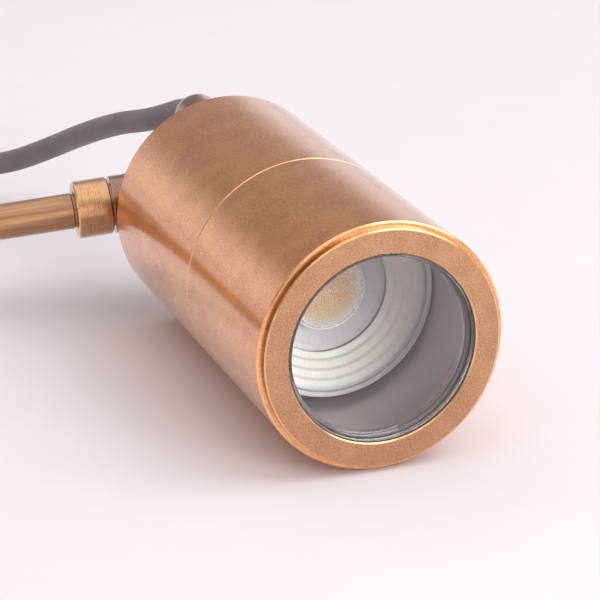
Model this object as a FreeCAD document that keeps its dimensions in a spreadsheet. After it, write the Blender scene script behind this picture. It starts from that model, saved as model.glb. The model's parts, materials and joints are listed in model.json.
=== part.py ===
"""Garden spike spotlight: a round brass head on a tilting knuckle and a ground spike.

Millimetres. The object lies on a surface at z = 0, as it does before it is put in the ground: the head's
axis is along Y with its glass towards -Y, and the spike reaches out to -X until it rests on the surface.
The origin is under the middle of the object's box, its flex left out.
"""
import FreeCAD
import Part
import Sketcher
import math
import os

X_AXIS = FreeCAD.Vector(1, 0, 0)
Y_AXIS = FreeCAD.Vector(0, 1, 0)
Z_AXIS = FreeCAD.Vector(0, 0, 1)
ALONG_Y = FreeCAD.Rotation(X_AXIS, -90)   # turns a primitive's own Z onto +Y
UPRIGHT = FreeCAD.Rotation()               # leaves a primitive's own Z as it is

# ---------------------------------------------------------------- driving dimensions
DIMENSIONS = {
    # place of the head in the part's frame
    "frame_x": 148.3,
    "frame_y": -82.7,
    # head barrels
    "body_radius": 30.0,
    "front_barrel_length": 50.0,
    "rear_housing_length": 59.0,
    "barrel_bore_radius": 26.3,
    "housing_bore_radius": 26.0,
    "rear_wall": 5.0,
    "edge_chamfer": 0.4,
    "seam_chamfer": 0.25,
    "seam_gap": 0.12,
    "spigot_wall": 1.9,
    "spigot_length": 8.6,
    "thread_clearance": 0.3,
    "thread_depth": 0.45,
    "thread_pitch": 1.5,
    "thread_relief": 0.3,
    "thread_runout": 0.5,
    "groove_land": 0.4,
    "o_ring_cord_radius": 0.55,
    # front ring and glass
    "ring_proud": 1.5,
    "ring_rim_width": 1.7,
    "ring_thread_wall": 4.25,
    "ring_depth": 8.0,
    "ring_opening_radius": 22.75,
    "ring_chamfer": 0.3,
    "ring_lip_radius": 21.3,
    "ring_lip_thickness": 1.6,
    "glass_radius": 22.45,
    "glass_thickness": 4.0,
    "glass_recess": 0.3,
    "seal_bed": 0.4,
    "fit_gap": 0.05,
    # lamp, measured from its front rim
    "lamp_x": 1.0,
    "lamp_z": 0.5,
    "lamp_depth": 34.0,
    "lamp_radius": 25.0,
    "lamp_shell": 1.3,
    "lamp_shell_length": 38.0,
    "lamp_neck_radius": 17.5,
    "lamp_base_radius": 12.4,
    "lamp_length": 46.5,
    "lamp_rim_edge": 0.3,
    "lamp_rim_length": 3.4,
    "lamp_rim_step": 0.7,
    "lamp_base_wall": 1.4,
    "optic_radius": 23.4,
    "optic_inner_radius": 16.4,
    "optic_depth": 6.4,
    "optic_thickness": 1.2,
    "optic_recess": 0.5,
    "lens_radius": 16.0,
    "lens_disc_radius": 9.8,
    "lens_front": 7.2,
    "lens_back": 15.0,
    "lens_flange": 0.9,
    "chip_radius": 5.5,
    "chip_thickness": 0.8,
    "led_board_radius": 18.0,
    "led_board_thickness": 1.2,
    "driver_board_width": 22.0,
    "driver_board_length": 16.0,
    "driver_board_thickness": 1.2,
    "capacitor_radius": 3.2,
    "capacitor_length": 10.0,
    "pin_spacing": 10.0,
    "pin_neck_radius": 1.5,
    "pin_head_radius": 2.35,
    "pin_neck_length": 2.4,
    "pin_length": 7.3,
    # lamp holder and its bracket
    "holder_radius": 13.0,
    "holder_length": 16.0,
    "holder_gap": 0.4,
    "holder_lip": 1.7,
    "slot_clearance": 0.35,
    "slot_depth": 10.8,
    "twist_angle": 22.0,
    "bracket_thickness": 1.2,
    "bracket_radius": 23.0,
    "bracket_tab_width": 8.8,
    "bracket_tab_length": 15.5,
    "post_radius": 2.5,
    "post_reach": 18.0,
    "screw_radius": 1.45,
    "screw_head_radius": 2.7,
    "screw_head_height": 1.9,
    "screw_slot_width": 0.8,
    "screw_clearance": 0.15,
    "screw_head_clearance": 0.25,
    "holder_screw_reach": 9.3,
    "holder_nut_radius": 3.1,
    "holder_nut_thickness": 2.2,
    "earth_screw_x": -14.5,
    "earth_screw_z": 12.5,
    "earth_tag_radius": 3.2,
    "earth_tag_thickness": 0.5,
    # terminal block and inner wiring
    "block_width": 18.0,
    "block_height": 8.0,
    "block_length": 12.0,
    "pole_spacing": 9.0,
    "pole_bore_radius": 2.2,
    "insert_radius": 2.1,
    "insert_bore_radius": 1.2,
    "terminal_well_radius": 1.7,
    "terminal_screw_radius": 1.3,
    "lead_radius": 0.9,
    # flex gland
    "gland_reach": 19.5,
    "gland_hex_radius": 7.2,
    "gland_hex_length": 4.7,
    "gland_wall": 1.45,
    "gland_nut_wall": 1.45,
    "gland_seal_wall": 1.29,
    "gland_nut_length": 15.2,
    "gland_nut_gap": 1.1,
    "gland_dome": 3.2,
    "gland_bevel": 0.9,
    "foot_seal_radius": 5.65,
    "foot_seal_cord": 0.3,
    "foot_groove_width": 1.1,
    "foot_groove_depth": 0.7,
    "flex_radius": 3.25,
    "flex_clearance": 0.2,
    # knuckle between head and spike
    "pivot_reach": 14.1,
    "lug_base_radius": 7.0,
    "lug_base_thickness": 3.0,
    "lug_base_chamfer": 0.6,
    "lug_seal_radius": 5.4,
    "lug_tongue_half_width": 6.0,
    "lug_tongue_thickness": 4.4,
    "lug_stud_radius": 4.0,
    "lug_nut_radius": 7.5,
    "lug_nut_thickness": 3.6,
    "tilt_angle": 83.2,
    "fork_radius": 7.7,
    "fork_slot_depth": 8.4,
    "fork_length": 26.7,
    "tilt_washer_radius": 5.4,
    "tilt_washer_thickness": 0.5,
    "clamp_radius": 2.4,
    "clamp_head_radius": 4.2,
    "clamp_head_seat": 4.9,
    "clamp_nut_seat": 4.2,
    "clamp_washer": 0.6,
    "clamp_nut_radius": 4.6,
    "clamp_nut_thickness": 3.0,
    "clamp_socket_radius": 2.3,
    "running_gap": 0.08,
    # swivel and lock collar
    "collar_gap": 0.7,
    "collar_wall": 1.5,
    "collar_length": 9.3,
    "collar_lip": 2.4,
    "collar_chamfer": 0.35,
    "stub_radius": 5.9,
    "stub_length": 4.4,
    "flange_radius": 5.7,
    "flange_thickness": 1.4,
    "pilot_radius": 3.0,
    "pilot_length": 5.0,
    "friction_washer_thickness": 0.8,
    # ground spike
    "spike_radius": 4.8,
    "spike_neck_radius": 4.5,
    "spike_neck_reach": 0.6,
    "spike_reach": 330.0,
    "spike_point_length": 25.0,
    "spike_tip_radius": 0.5,
    "surface_gap": 0.05,
}

document = FreeCAD.newDocument("garden_spike_spotlight")
sheet = document.addObject("Spreadsheet::Sheet", "Sizes")
for row, (alias, number) in enumerate(DIMENSIONS.items(), start=1):
    sheet.set(f"A{row}", alias.replace("_", " "))
    sheet.set(f"B{row}", str(number))
    sheet.setAlias(f"B{row}", alias)
document.recompute()


class Term:
    """A size as the sheet holds it: its number, and the formula that names the cells it comes from."""

    def __init__(self, number, formula):
        self.number = float(number)
        self.formula = formula

    def __add__(self, other):
        other = term(other)
        return Term(self.number + other.number, f"({self.formula} + {other.formula})")

    def __sub__(self, other):
        other = term(other)
        return Term(self.number - other.number, f"({self.formula} - {other.formula})")

    def __mul__(self, other):
        other = term(other)
        return Term(self.number * other.number, f"({self.formula} * {other.formula})")

    def __truediv__(self, other):
        other = term(other)
        return Term(self.number / other.number, f"({self.formula} / {other.formula})")

    def __neg__(self):
        return Term(-self.number, f"(-1 * {self.formula})")

    def __radd__(self, other):
        return term(other) + self

    def __rsub__(self, other):
        return term(other) - self

    def __rmul__(self, other):
        return term(other) * self

    def __float__(self):
        return self.number


def term(value):
    return value if isinstance(value, Term) else Term(value, str(value))


class Sizes:
    """Reads a named cell as a Term."""

    def __getattr__(self, alias):
        return Term(sheet.get(alias), f"Sizes.{alias}")


size = Sizes()

# ---------------------------------------------------------------- building blocks


def bind(thing, name, value):
    """Sets a property to a size and ties it to the sheet's cells."""
    thing.setExpression(name, term(value).formula)


def put(thing, x=0, y=0, z=0, rotation=None):
    """Places a primitive at sizes along the three axes."""
    thing.Placement = FreeCAD.Placement(FreeCAD.Vector(), rotation or UPRIGHT)
    bind(thing, "Placement.Base.x", x)
    bind(thing, "Placement.Base.y", y)
    bind(thing, "Placement.Base.z", z)
    return thing


def turned(label, outline):
    """A body turned about the Y axis from a closed outline of (radius, place along Y)."""
    body = document.addObject("PartDesign::Body", label)
    sketch = body.newObject("Sketcher::SketchObject", label + "_outline")
    plane = [f for f in body.Origin.OriginFeatures if f.Role == "XY_Plane"][0]
    sketch.AttachmentSupport = (plane, [""])
    sketch.MapMode = "FlatFace"
    corners = [(term(radius), term(along)) for radius, along in outline]
    spots = [FreeCAD.Vector(radius.number, along.number, 0) for radius, along in corners]
    for here, there in zip(spots, spots[1:] + spots[:1]):
        sketch.addGeometry(Part.LineSegment(here, there), False)
    count = len(spots)
    vertical_axis, horizontal_axis, origin = -2, -1, (-1, 1)
    for index in range(count):
        nearby = Sketcher.Constraint("Coincident", index, 2, (index + 1) % count, 1)
        sketch.addConstraint(nearby)
    for index, (radius, along) in enumerate(corners):
        for kind, axis, value in (("DistanceX", vertical_axis, radius), ("DistanceY", horizontal_axis, along)):
            if value.formula == "0":
                sketch.addConstraint(Sketcher.Constraint("PointOnObject", index, 1, axis))
                continue
            held = sketch.addConstraint(Sketcher.Constraint(kind, *origin, index, 1, value.number))
            sketch.renameConstraint(held, f"{kind[-1].lower()}_{index}")
            bind(sketch, f"Constraints.{kind[-1].lower()}_{index}", value)
    revolution = body.newObject("PartDesign::Revolution", label + "_turned")
    revolution.Profile = sketch
    revolution.ReferenceAxis = (sketch, ["V_Axis"])
    revolution.Angle = 360
    return body


def cylinder(radius, length, x=0, y=0, z=0, rotation=ALONG_Y, sweep=360):
    made = document.addObject("Part::Cylinder", "round")
    bind(made, "Radius", radius)
    bind(made, "Height", length)
    bind(made, "Angle", sweep)
    return put(made, x, y, z, rotation)


def hexagon(corner_radius, length, x=0, y=0, z=0, rotation=ALONG_Y):
    made = document.addObject("Part::Prism", "hexagon")
    made.Polygon = 6
    bind(made, "Circumradius", corner_radius)
    bind(made, "Height", length)
    return put(made, x, y, z, rotation)


def block(width, depth, height, x=0, y=0, z=0):
    """A box with its lowest corner at x, y, z."""
    made = document.addObject("Part::Box", "block")
    bind(made, "Length", width)
    bind(made, "Width", depth)
    bind(made, "Height", height)
    return put(made, x, y, z)


def joined(*pieces):
    made = document.addObject("Part::MultiFuse", "joined")
    made.Shapes = list(pieces)
    return made


def cut(base, *tools):
    made = document.addObject("Part::Cut", "cut")
    made.Base = base
    made.Tool = tools[0] if len(tools) == 1 else joined(*tools)
    return made


def common(first, second):
    made = document.addObject("Part::MultiCommon", "common")
    made.Shapes = [first, second]
    return made


def group(*pieces):
    """Identical separate pieces that share one node."""
    made = document.addObject("Part::Compound", "group")
    made.Links = list(pieces)
    return made


def formed(shape):
    """A shape that only the code can make, such as a bent tube."""
    made = document.addObject("Part::Feature", "formed")
    made.Shape = shape
    return made


NODES = {}


def node(label, made, frame):
    """Names a finished piece and puts it where its assembly is."""
    made.Label = label
    made.Placement = frame
    NODES[label] = made
    return made


def arc_of(start, corner, end, reach):
    """The tangent arc that rounds a corner, and its radius."""
    into = (corner - start).normalize()
    out = (end - corner).normalize()
    turn = into.getAngle(out)
    radius = reach / math.tan(turn / 2)
    first = corner - into * reach
    last = corner + out * reach
    inward = (out - into).normalize()
    middle = corner + inward * (radius / math.cos(turn / 2) - radius)
    return first, middle, last, radius


def tube(route, radius, name):
    """A round tube along straight runs joined by tangent arcs, with its volume compared with its length's."""
    runs = [a.distanceToPoint(b) for a, b in zip(route, route[1:])]
    edges = []
    here = route[0]
    radii = []
    for index in range(1, len(route) - 1):
        reach = 0.45 * min(runs[index - 1], runs[index])
        first, middle, last, bend = arc_of(route[index - 1], route[index], route[index + 1], reach)
        edges.append(Part.LineSegment(here, first).toShape())
        edges.append(Part.Arc(first, middle, last).toShape())
        radii.append(bend)
        here = last
    edges.append(Part.LineSegment(here, route[-1]).toShape())
    path = Part.Wire(edges)
    solid = swept(path, radius, route[0], route[1] - route[0])
    share = solid.Volume / (math.pi * radius ** 2 * path.Length)
    print(f"{name}: length {path.Length:.1f}, bends {[round(r, 1) for r in radii]}, volume share {share:.4f}")
    return solid, path.Length


def swept(path, radius, start, heading):
    section = Part.Wire([Part.Circle(start, heading, radius).toShape()])
    return path.makePipeShell([section], True, False)


# ---------------------------------------------------------------- places along the head's axis
seam = size.ring_proud + size.front_barrel_length
rear_face = seam + size.rear_housing_length
inner_rear = rear_face - size.rear_wall
pivot = rear_face + size.pivot_reach
spigot_radius = size.housing_bore_radius + size.spigot_wall
ring_thread = size.ring_opening_radius + size.ring_thread_wall
ring_radius = ring_thread + size.ring_rim_width
hex_end = rear_face + size.gland_hex_length
gland_bore = size.flex_radius + size.flex_clearance
gland_thread = gland_bore + size.gland_wall

# The spike rests on the surface where its point begins to taper, and this rolls the head about its axis.
tilt = float(size.tilt_angle)
contact_reach = float(size.spike_reach - size.spike_point_length)
height = float(size.body_radius - size.surface_gap)
spike_radius = float(size.spike_radius)
room = contact_reach ** 2 + spike_radius ** 2
slope = (height * contact_reach - spike_radius * math.sqrt(room - height ** 2)) / room
roll = math.degrees(math.asin(slope / math.sin(math.radians(tilt))))
print(f"head rolled {roll:.3f} degrees")

HEAD = FreeCAD.Placement(
    FreeCAD.Vector(float(size.frame_x), float(size.frame_y), float(size.body_radius)),
    FreeCAD.Rotation(Y_AXIS, -roll))
LAMP = HEAD * FreeCAD.Placement(
    FreeCAD.Vector(float(size.lamp_x), float(size.lamp_depth), float(size.lamp_z)), UPRIGHT)
HOLDER = HEAD * FreeCAD.Placement(FreeCAD.Vector(float(size.lamp_x), 0, float(size.lamp_z)), UPRIGHT)
SPIKE = HEAD * FreeCAD.Placement(FreeCAD.Vector(0, float(pivot), 0), FreeCAD.Rotation(Z_AXIS, tilt))
PART = FreeCAD.Placement()


# ---------------------------------------------------------------- head barrels
def thread_teeth(crest, root, start, stop, pitch):
    """Outline corners of a screw thread's teeth between two places along Y."""
    flank = 0.35   # of the pitch, on each side of a tooth's crest
    teeth = []
    count = int((stop.number - start.number) / pitch.number)
    for index in range(count):
        foot = start + pitch * index
        teeth += [(root, foot), (crest, foot + pitch * flank), (crest, foot + pitch * (1 - flank))]
    teeth.append((root, start + pitch * count))
    return teeth


def front_barrel():
    bore = size.barrel_bore_radius
    counterbore = spigot_radius + size.thread_clearance
    mouth = ring_thread + size.thread_clearance
    mouth_end = size.ring_proud + size.ring_depth
    outline = [
        (mouth, size.ring_proud),
        (size.body_radius - size.edge_chamfer, size.ring_proud),
        (size.body_radius, size.ring_proud + size.edge_chamfer),
        (size.body_radius, seam - size.seam_chamfer),
        (size.body_radius - size.seam_chamfer, seam),
        (counterbore, seam),
        (counterbore, seam - size.spigot_length - size.thread_clearance),
        (bore, seam - size.spigot_length - size.thread_clearance),
        (bore, mouth_end),
        (mouth, mouth_end),
    ]
    node("front_barrel", turned("front_barrel", outline), HEAD)


def rear_housing():
    start = seam + size.seam_gap
    front = seam - size.spigot_length
    crest = spigot_radius
    root = crest - size.thread_depth
    groove = crest - size.o_ring_cord_radius * 2
    groove_front = start - size.o_ring_cord_radius * 2 - size.thread_relief
    outline = [
        (size.housing_bore_radius, front),
        (root - size.thread_relief, front),
        *thread_teeth(crest, root, front + size.groove_land, groove_front - size.thread_runout,
                      size.thread_pitch),
        (crest, groove_front - size.groove_land),
        (crest, groove_front),
        (groove, groove_front),
        (groove, start),
        (size.body_radius - size.seam_chamfer, start),
        (size.body_radius, start + size.seam_chamfer),
        (size.body_radius, rear_face - size.edge_chamfer),
        (size.body_radius - size.edge_chamfer, rear_face),
        (0, rear_face),
        (0, inner_rear),
        (size.housing_bore_radius, inner_rear),
    ]
    shell = turned("rear_housing_blank", outline)
    hole = size.fit_gap
    through = inner_rear - 1
    depth = size.rear_wall + 2
    stud_hole = cylinder(size.lug_stud_radius + hole, depth, y=through)
    gland_hole = cylinder(gland_thread + hole, depth, 0, through, size.gland_reach)
    post_holes = [
        cylinder(size.screw_radius + hole, 4, side * size.post_reach + size.lamp_x, inner_rear - 0.5,
                 size.lamp_z)
        for side in (-1, 1)]
    node("rear_housing", cut(shell, stud_hole, gland_hole, *post_holes), HEAD)


def ring_seal(label, radius, cord, along, frame=HEAD, x=0, z=0):
    """An O-ring round the Y axis."""
    made = document.addObject("Part::Torus", "o_ring")
    bind(made, "Radius1", radius)
    bind(made, "Radius2", cord)
    put(made, x, along, z, ALONG_Y)
    node(label, group(made), frame)


def head_seals():
    cord = size.o_ring_cord_radius
    ring_seal("housing_o_ring", spigot_radius - cord, cord - 0.04, seam + size.seam_gap - cord - 0.12)
    ring_seal("ring_o_ring", ring_thread - cord, cord,
              size.ring_proud + size.ring_depth - cord - size.fit_gap)


def front_ring():
    rebate_floor = size.glass_recess + size.glass_thickness + size.seal_bed
    lip_back = rebate_floor + size.ring_lip_thickness
    thread_end = size.ring_proud + size.ring_depth - size.o_ring_cord_radius * 2 - size.fit_gap * 2
    flange_back = size.ring_proud - size.fit_gap
    opening = size.ring_opening_radius
    outline = [
        (opening + size.ring_chamfer, 0),
        (ring_radius - size.ring_chamfer, 0),
        (ring_radius, size.ring_chamfer),
        (ring_radius, flange_back),
        (ring_thread - size.thread_depth, flange_back),
        *thread_teeth(ring_thread, ring_thread - size.thread_depth,
                      flange_back + size.thread_runout, thread_end - size.thread_relief, size.thread_pitch),
        (ring_thread - size.thread_depth, thread_end),
        (opening + size.ring_lip_thickness, thread_end),
        (opening + size.ring_lip_thickness, lip_back),
        (size.ring_lip_radius, lip_back),
        (size.ring_lip_radius, rebate_floor),
        (opening, rebate_floor),
        (opening, size.ring_chamfer),
    ]
    node("front_ring", turned("front_ring", outline), HEAD)


def front_glass():
    edge = 0.3
    back = size.glass_recess + size.glass_thickness
    outline = [
        (0, size.glass_recess),
        (size.glass_radius - edge, size.glass_recess),
        (size.glass_radius, size.glass_recess + edge),
        (size.glass_radius, back - edge),
        (size.glass_radius - edge, back),
        (0, back),
    ]
    node("front_glass", turned("front_glass", outline), HEAD)


def glass_seal():
    gap = size.fit_gap
    back = size.glass_recess + size.glass_thickness
    outline = [
        (size.glass_radius + gap, size.glass_recess + 0.25),
        (size.ring_opening_radius - gap, size.glass_recess + 0.25),
        (size.ring_opening_radius - gap, back + size.seal_bed - gap),
        (size.ring_lip_radius + 0.2, back + size.seal_bed - gap),
        (size.ring_lip_radius + 0.2, back + gap),
        (size.glass_radius + gap, back + gap),
    ]
    node("glass_seal", turned("glass_seal", outline), HEAD)


# ---------------------------------------------------------------- lamp
def lamp_shell():
    wall = size.lamp_shell
    outline = [
        (size.lamp_radius - wall, 0),
        (size.lamp_radius - size.lamp_rim_edge, 0),
        (size.lamp_radius, size.lamp_rim_edge),
        (size.lamp_radius, size.lamp_rim_length),
        (size.lamp_radius - size.lamp_rim_step, size.lamp_rim_length + 1),
        (size.lamp_neck_radius, size.lamp_shell_length - 4),
        (size.lamp_neck_radius, size.lamp_shell_length),
        (size.lamp_neck_radius - wall, size.lamp_shell_length),
        (size.lamp_neck_radius - wall, size.lamp_shell_length - 4.4),
        (size.led_board_radius + 0.1, size.lens_back + 3.4),
        (size.led_board_radius + 0.1, size.lens_back + 0.8),
        (size.led_board_radius + 1.2, size.lens_back + 0.8),
        (size.lamp_radius - size.lamp_rim_step - wall, size.lamp_rim_length + 1.4),
        (size.lamp_radius - wall, size.lamp_rim_length + 0.2),
    ]
    node("lamp_shell", turned("lamp_shell", outline), LAMP)


def lamp_optic():
    """The frosted front, stepped down towards the clear lens."""
    steps = 6
    fall = (size.optic_radius - size.optic_inner_radius) / steps
    drop = size.optic_depth / steps
    recess = size.optic_recess
    front = [(size.optic_radius, recess)]
    for step in range(steps):
        front.append((size.optic_radius - fall * (step + 1) + fall * 0.2, recess + drop * step))
        front.append((size.optic_radius - fall * (step + 1), recess + drop * (step + 1)))
    back = [
        (size.optic_inner_radius, size.optic_depth + recess + size.optic_thickness),
        (size.optic_radius, recess + size.optic_thickness),
    ]
    node("lamp_optic", turned("lamp_optic", front + back), LAMP)


def lamp_lens():
    edge = size.lens_front
    outline = [
        (0, edge - 0.6),
        (size.lens_disc_radius, edge - 0.6),
        (size.lens_disc_radius + 0.3, edge),
        (size.lens_disc_radius + 1.2, edge + 3),
        (size.lens_radius - 1.4, edge + size.lens_flange),
        (size.lens_radius, edge + size.lens_flange),
        (size.lens_radius, edge + 2),
        (size.chip_radius + 1.6, size.lens_back - 0.1),
        (size.chip_radius + 0.5, size.lens_back - 0.1),
        (size.chip_radius + 0.2, edge + 3.4),
        (0, edge + 2.4),
    ]
    node("lamp_lens", turned("lamp_lens", outline), LAMP)


def lamp_electrics():
    board_front = size.lens_back + 0.9
    chip = cylinder(size.chip_radius, size.chip_thickness,
                    y=board_front - size.chip_thickness - size.fit_gap)
    node("led_chip", group(chip), LAMP)
    outline = [
        (0, board_front),
        (size.led_board_radius, board_front),
        (size.led_board_radius, board_front + size.led_board_thickness),
        (0, board_front + size.led_board_thickness),
    ]
    node("led_board", turned("led_board", outline), LAMP)
    start = board_front + size.led_board_thickness + 0.3
    thickness = size.driver_board_thickness
    board = block(size.driver_board_width, size.driver_board_length, thickness,
                  -size.driver_board_width / 2, start, -thickness / 2)
    capacitor = cylinder(size.capacitor_radius, size.capacitor_length, -5, start + 2,
                         size.capacitor_radius + thickness / 2 + 0.1)
    coil = block(7, 6, 5, 2.5, start + 3, 0.55)
    stops = block(6, 4, 2, -3, start + 10, -2.55)
    node("lamp_driver_board", joined(board, capacitor, coil, stops), LAMP)


def lamp_base():
    start = size.lamp_shell_length + size.fit_gap
    wall = size.lamp_base_wall
    outline = [
        (size.lamp_neck_radius - wall - 0.2, start - 1.8),
        (size.lamp_neck_radius - wall - 0.2, start),
        (size.lamp_neck_radius, start),
        (size.lamp_neck_radius, start + 1.4),
        (size.lamp_base_radius, start + 3.4),
        (size.lamp_base_radius, size.lamp_length - 0.5),
        (size.lamp_base_radius - 0.5, size.lamp_length),
        (0, size.lamp_length),
        (0, size.lamp_length - wall),
        (size.lamp_base_radius - wall, size.lamp_length - wall),
        (size.lamp_base_radius - wall, start + 2.6),
        (size.lamp_neck_radius - 2 * wall, start),
        (size.lamp_neck_radius - 2 * wall, start - 1.8),
    ]
    shell = turned("lamp_base_blank", outline)
    holes = [
        cylinder(size.pin_neck_radius + size.fit_gap, wall + 1, side * size.pin_spacing / 2,
                 size.lamp_length - wall - 0.5)
        for side in (-1, 1)]
    node("lamp_base", cut(shell, *holes), LAMP)


def lamp_pins():
    pins = []
    for side in (-1, 1):
        x = side * size.pin_spacing / 2
        neck = cylinder(size.pin_neck_radius, size.pin_neck_length + 2, x, size.lamp_length - 2)
        head = cylinder(size.pin_head_radius, size.pin_length - size.pin_neck_length, x,
                        size.lamp_length + size.pin_neck_length)
        pins.append(joined(neck, head))
    node("lamp_pins", group(*pins), LAMP)


# ---------------------------------------------------------------- lamp holder, placed on the lamp's axis
holder_front = size.lamp_depth + size.lamp_length + size.holder_gap
holder_back = holder_front + size.holder_length
plate_front = holder_back + size.fit_gap
plate_back = plate_front + size.bracket_thickness


def arc_slot(half_width, front, length, side):
    """A slot round the lamp's axis that a pin swings along, from its rest to where it comes free."""
    middle = float(size.pin_spacing) / 2
    half = float(half_width)
    turn = math.radians(float(size.twist_angle))

    def spot(radius, angle, past=0.0):
        ahead = FreeCAD.Vector(-math.sin(angle), 0, math.cos(angle)) * past
        outward = FreeCAD.Vector(math.cos(angle), 0, math.sin(angle))
        return (outward * radius + ahead) * side + Y_AXIS * float(front)

    outer = Part.Arc(spot(middle + half, 0), spot(middle + half, turn / 2), spot(middle + half, turn))
    far_end = Part.Arc(spot(middle + half, turn), spot(middle, turn, half), spot(middle - half, turn))
    inner = Part.Arc(spot(middle - half, turn), spot(middle - half, turn / 2), spot(middle - half, 0))
    near_end = Part.Arc(spot(middle - half, 0), spot(middle, 0, -half), spot(middle + half, 0))
    outline = Part.Wire([curve.toShape() for curve in (outer, far_end, inner, near_end)])
    return formed(Part.Face(outline).extrude(Y_AXIS * float(length)))


def lamp_holder():
    body = cylinder(size.holder_radius, size.holder_length, y=holder_front)
    neck = size.pin_neck_radius + size.slot_clearance
    wide = size.pin_head_radius + size.slot_clearance
    turn = math.radians(float(size.twist_angle))
    tools = []
    for side in (-1, 1):
        reach = side * size.pin_spacing / 2
        tools.append(arc_slot(neck, holder_front - 1, size.holder_lip + 2, side))
        tools.append(arc_slot(wide, holder_front + size.holder_lip, size.slot_depth - size.holder_lip, side))
        tools.append(cylinder(wide - size.fit_gap, size.holder_lip + 2,
                              reach * math.cos(turn), holder_front - 1, reach * math.sin(turn)))
        z = side * size.holder_screw_reach
        tools.append(cylinder(size.screw_head_radius + size.screw_head_clearance, 9.1, y=holder_front - 1, z=z))
        tools.append(cylinder(size.screw_radius + size.screw_clearance, size.holder_length + 2,
                              y=holder_front - 1, z=z))
    node("lamp_holder", cut(body, *tools), HOLDER)


def holder_contacts():
    """Two contact buttons that the lamp's pins press on."""
    floor = holder_front + size.slot_depth
    pin_end = size.lamp_depth + size.lamp_length + size.pin_length
    buttons = []
    for side in (-1, 1):
        x = side * size.pin_spacing / 2
        button = cylinder(size.pin_head_radius - 0.2, 0.8, x, pin_end + 0.3)
        stem = cylinder(1, floor - pin_end - 1.1, x, pin_end + 1.1)
        buttons.append(joined(button, stem))
    node("holder_contacts", group(*buttons), HOLDER)


def holder_bracket():
    plate = cylinder(size.bracket_radius, size.bracket_thickness, y=plate_front)
    tab_z = size.holder_radius + 0.4
    tab = block(size.bracket_tab_width, size.bracket_tab_length + size.bracket_thickness, 1,
                -size.bracket_tab_width / 2, plate_front - size.bracket_tab_length, tab_z)
    depth = size.bracket_thickness + 2
    notch = block(size.bracket_tab_width, depth, size.bracket_radius,
                  -size.bracket_tab_width / 2, plate_front - 1, tab_z + 1)
    centre = cylinder(5, depth, y=plate_front - 1)
    hole = size.screw_radius + size.screw_clearance
    posts = [cylinder(hole, depth, side * size.post_reach, plate_front - 1) for side in (-1, 1)]
    screws = [cylinder(hole, depth, 0, plate_front - 1, side * size.holder_screw_reach) for side in (-1, 1)]
    earth = cylinder(hole, depth, size.earth_screw_x, plate_front - 1, size.earth_screw_z)
    node("holder_bracket", cut(joined(plate, tab), notch, centre, earth, *posts, *screws), HOLDER)


def screw(x, z, shoulder, length):
    """A pan-head screw pointing back from its shoulder, with a slot across its head."""
    head = cylinder(size.screw_head_radius, size.screw_head_height, x, shoulder - size.screw_head_height, z)
    shaft = cylinder(size.screw_radius, length, x, shoulder, z)
    top = shoulder - size.screw_head_height
    width = size.screw_slot_width
    slot = block(size.screw_head_radius * 2 + 1, 0.9, width, x - size.screw_head_radius - 0.5, top - 0.1,
                 z - width / 2)
    return cut(joined(head, shaft), slot)


def holder_fasteners():
    gap = size.fit_gap
    posts = []
    for side in (-1, 1):
        x = side * size.post_reach
        length = inner_rear - plate_back - gap * 2
        outer = joined(hexagon(size.post_radius, length, x, plate_back + gap),
                       cylinder(size.screw_radius, 2.8, x, inner_rear - gap - 0.2))
        posts.append(cut(outer, cylinder(size.screw_radius + gap, 4.4, x, plate_back)))
    node("bracket_posts", group(*posts), HOLDER)
    shoulder = plate_front - gap
    screws = [screw(side * size.post_reach, 0, shoulder, 4.6) for side in (-1, 1)]
    node("bracket_screws", group(*screws), HOLDER)
    seat = holder_front + 8.1 - gap
    length = plate_back + 2.4 - seat
    node("holder_screws",
         group(*[screw(0, side * size.holder_screw_reach, seat, length) for side in (-1, 1)]), HOLDER)
    nuts = [
        cut(hexagon(size.holder_nut_radius, size.holder_nut_thickness, 0, plate_back + gap,
                    side * size.holder_screw_reach),
            cylinder(size.screw_radius + gap, 4, 0, plate_back - 1, side * size.holder_screw_reach))
        for side in (-1, 1)]
    node("holder_nuts", group(*nuts), HOLDER)


# ---------------------------------------------------------------- terminal block and wiring
block_floor = size.holder_radius + 1.4 + size.fit_gap
block_back = plate_front - 3.5
block_front = block_back - size.block_length
wire_z = block_floor + size.block_height / 2


def terminal_block():
    body = block(size.block_width, size.block_length, size.block_height,
                 -size.block_width / 2, block_front, block_floor)
    tools = []
    for side in (-1, 1):
        x = side * size.pole_spacing / 2
        tools.append(cylinder(size.pole_bore_radius, size.block_length + 2, x, block_front - 1, wire_z))
        for along in (0.25, 0.75):
            y = block_front + size.block_length * along
            tools.append(cylinder(size.terminal_well_radius, size.block_height, x, y, wire_z, UPRIGHT))
    third = size.block_length / 3
    waist = block(1.6, third, size.block_height, -0.8, block_front + third, wire_z)
    node("terminal_block", cut(body, waist, *tools), HOLDER)


def terminal_inserts():
    inserts = []
    screws = []
    for side in (-1, 1):
        x = side * size.pole_spacing / 2
        length = size.block_length - 1.2
        start = block_front + 0.6
        inserts.append(cut(cylinder(size.insert_radius, length, x, start, wire_z),
                           cylinder(size.insert_bore_radius, length + 2, x, start - 1, wire_z),
                           *[cylinder(size.terminal_screw_radius + size.fit_gap, 4, x,
                                      block_front + size.block_length * along, wire_z,
                                      UPRIGHT) for along in (0.25, 0.75)]))
        for along in (0.25, 0.75):
            y = block_front + size.block_length * along
            body = cylinder(size.terminal_screw_radius, 2.2, x, y, wire_z + 1.1, UPRIGHT)
            slot = block(3, 0.5, 0.6, x - 1.5, y - 0.25, wire_z + 2.8)
            screws.append(cut(body, slot))
    node("terminal_inserts", group(*inserts), HOLDER)
    node("terminal_screws", group(*screws), HOLDER)


def points(*places):
    return [FreeCAD.Vector(*[float(value) for value in place]) for place in places]


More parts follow.
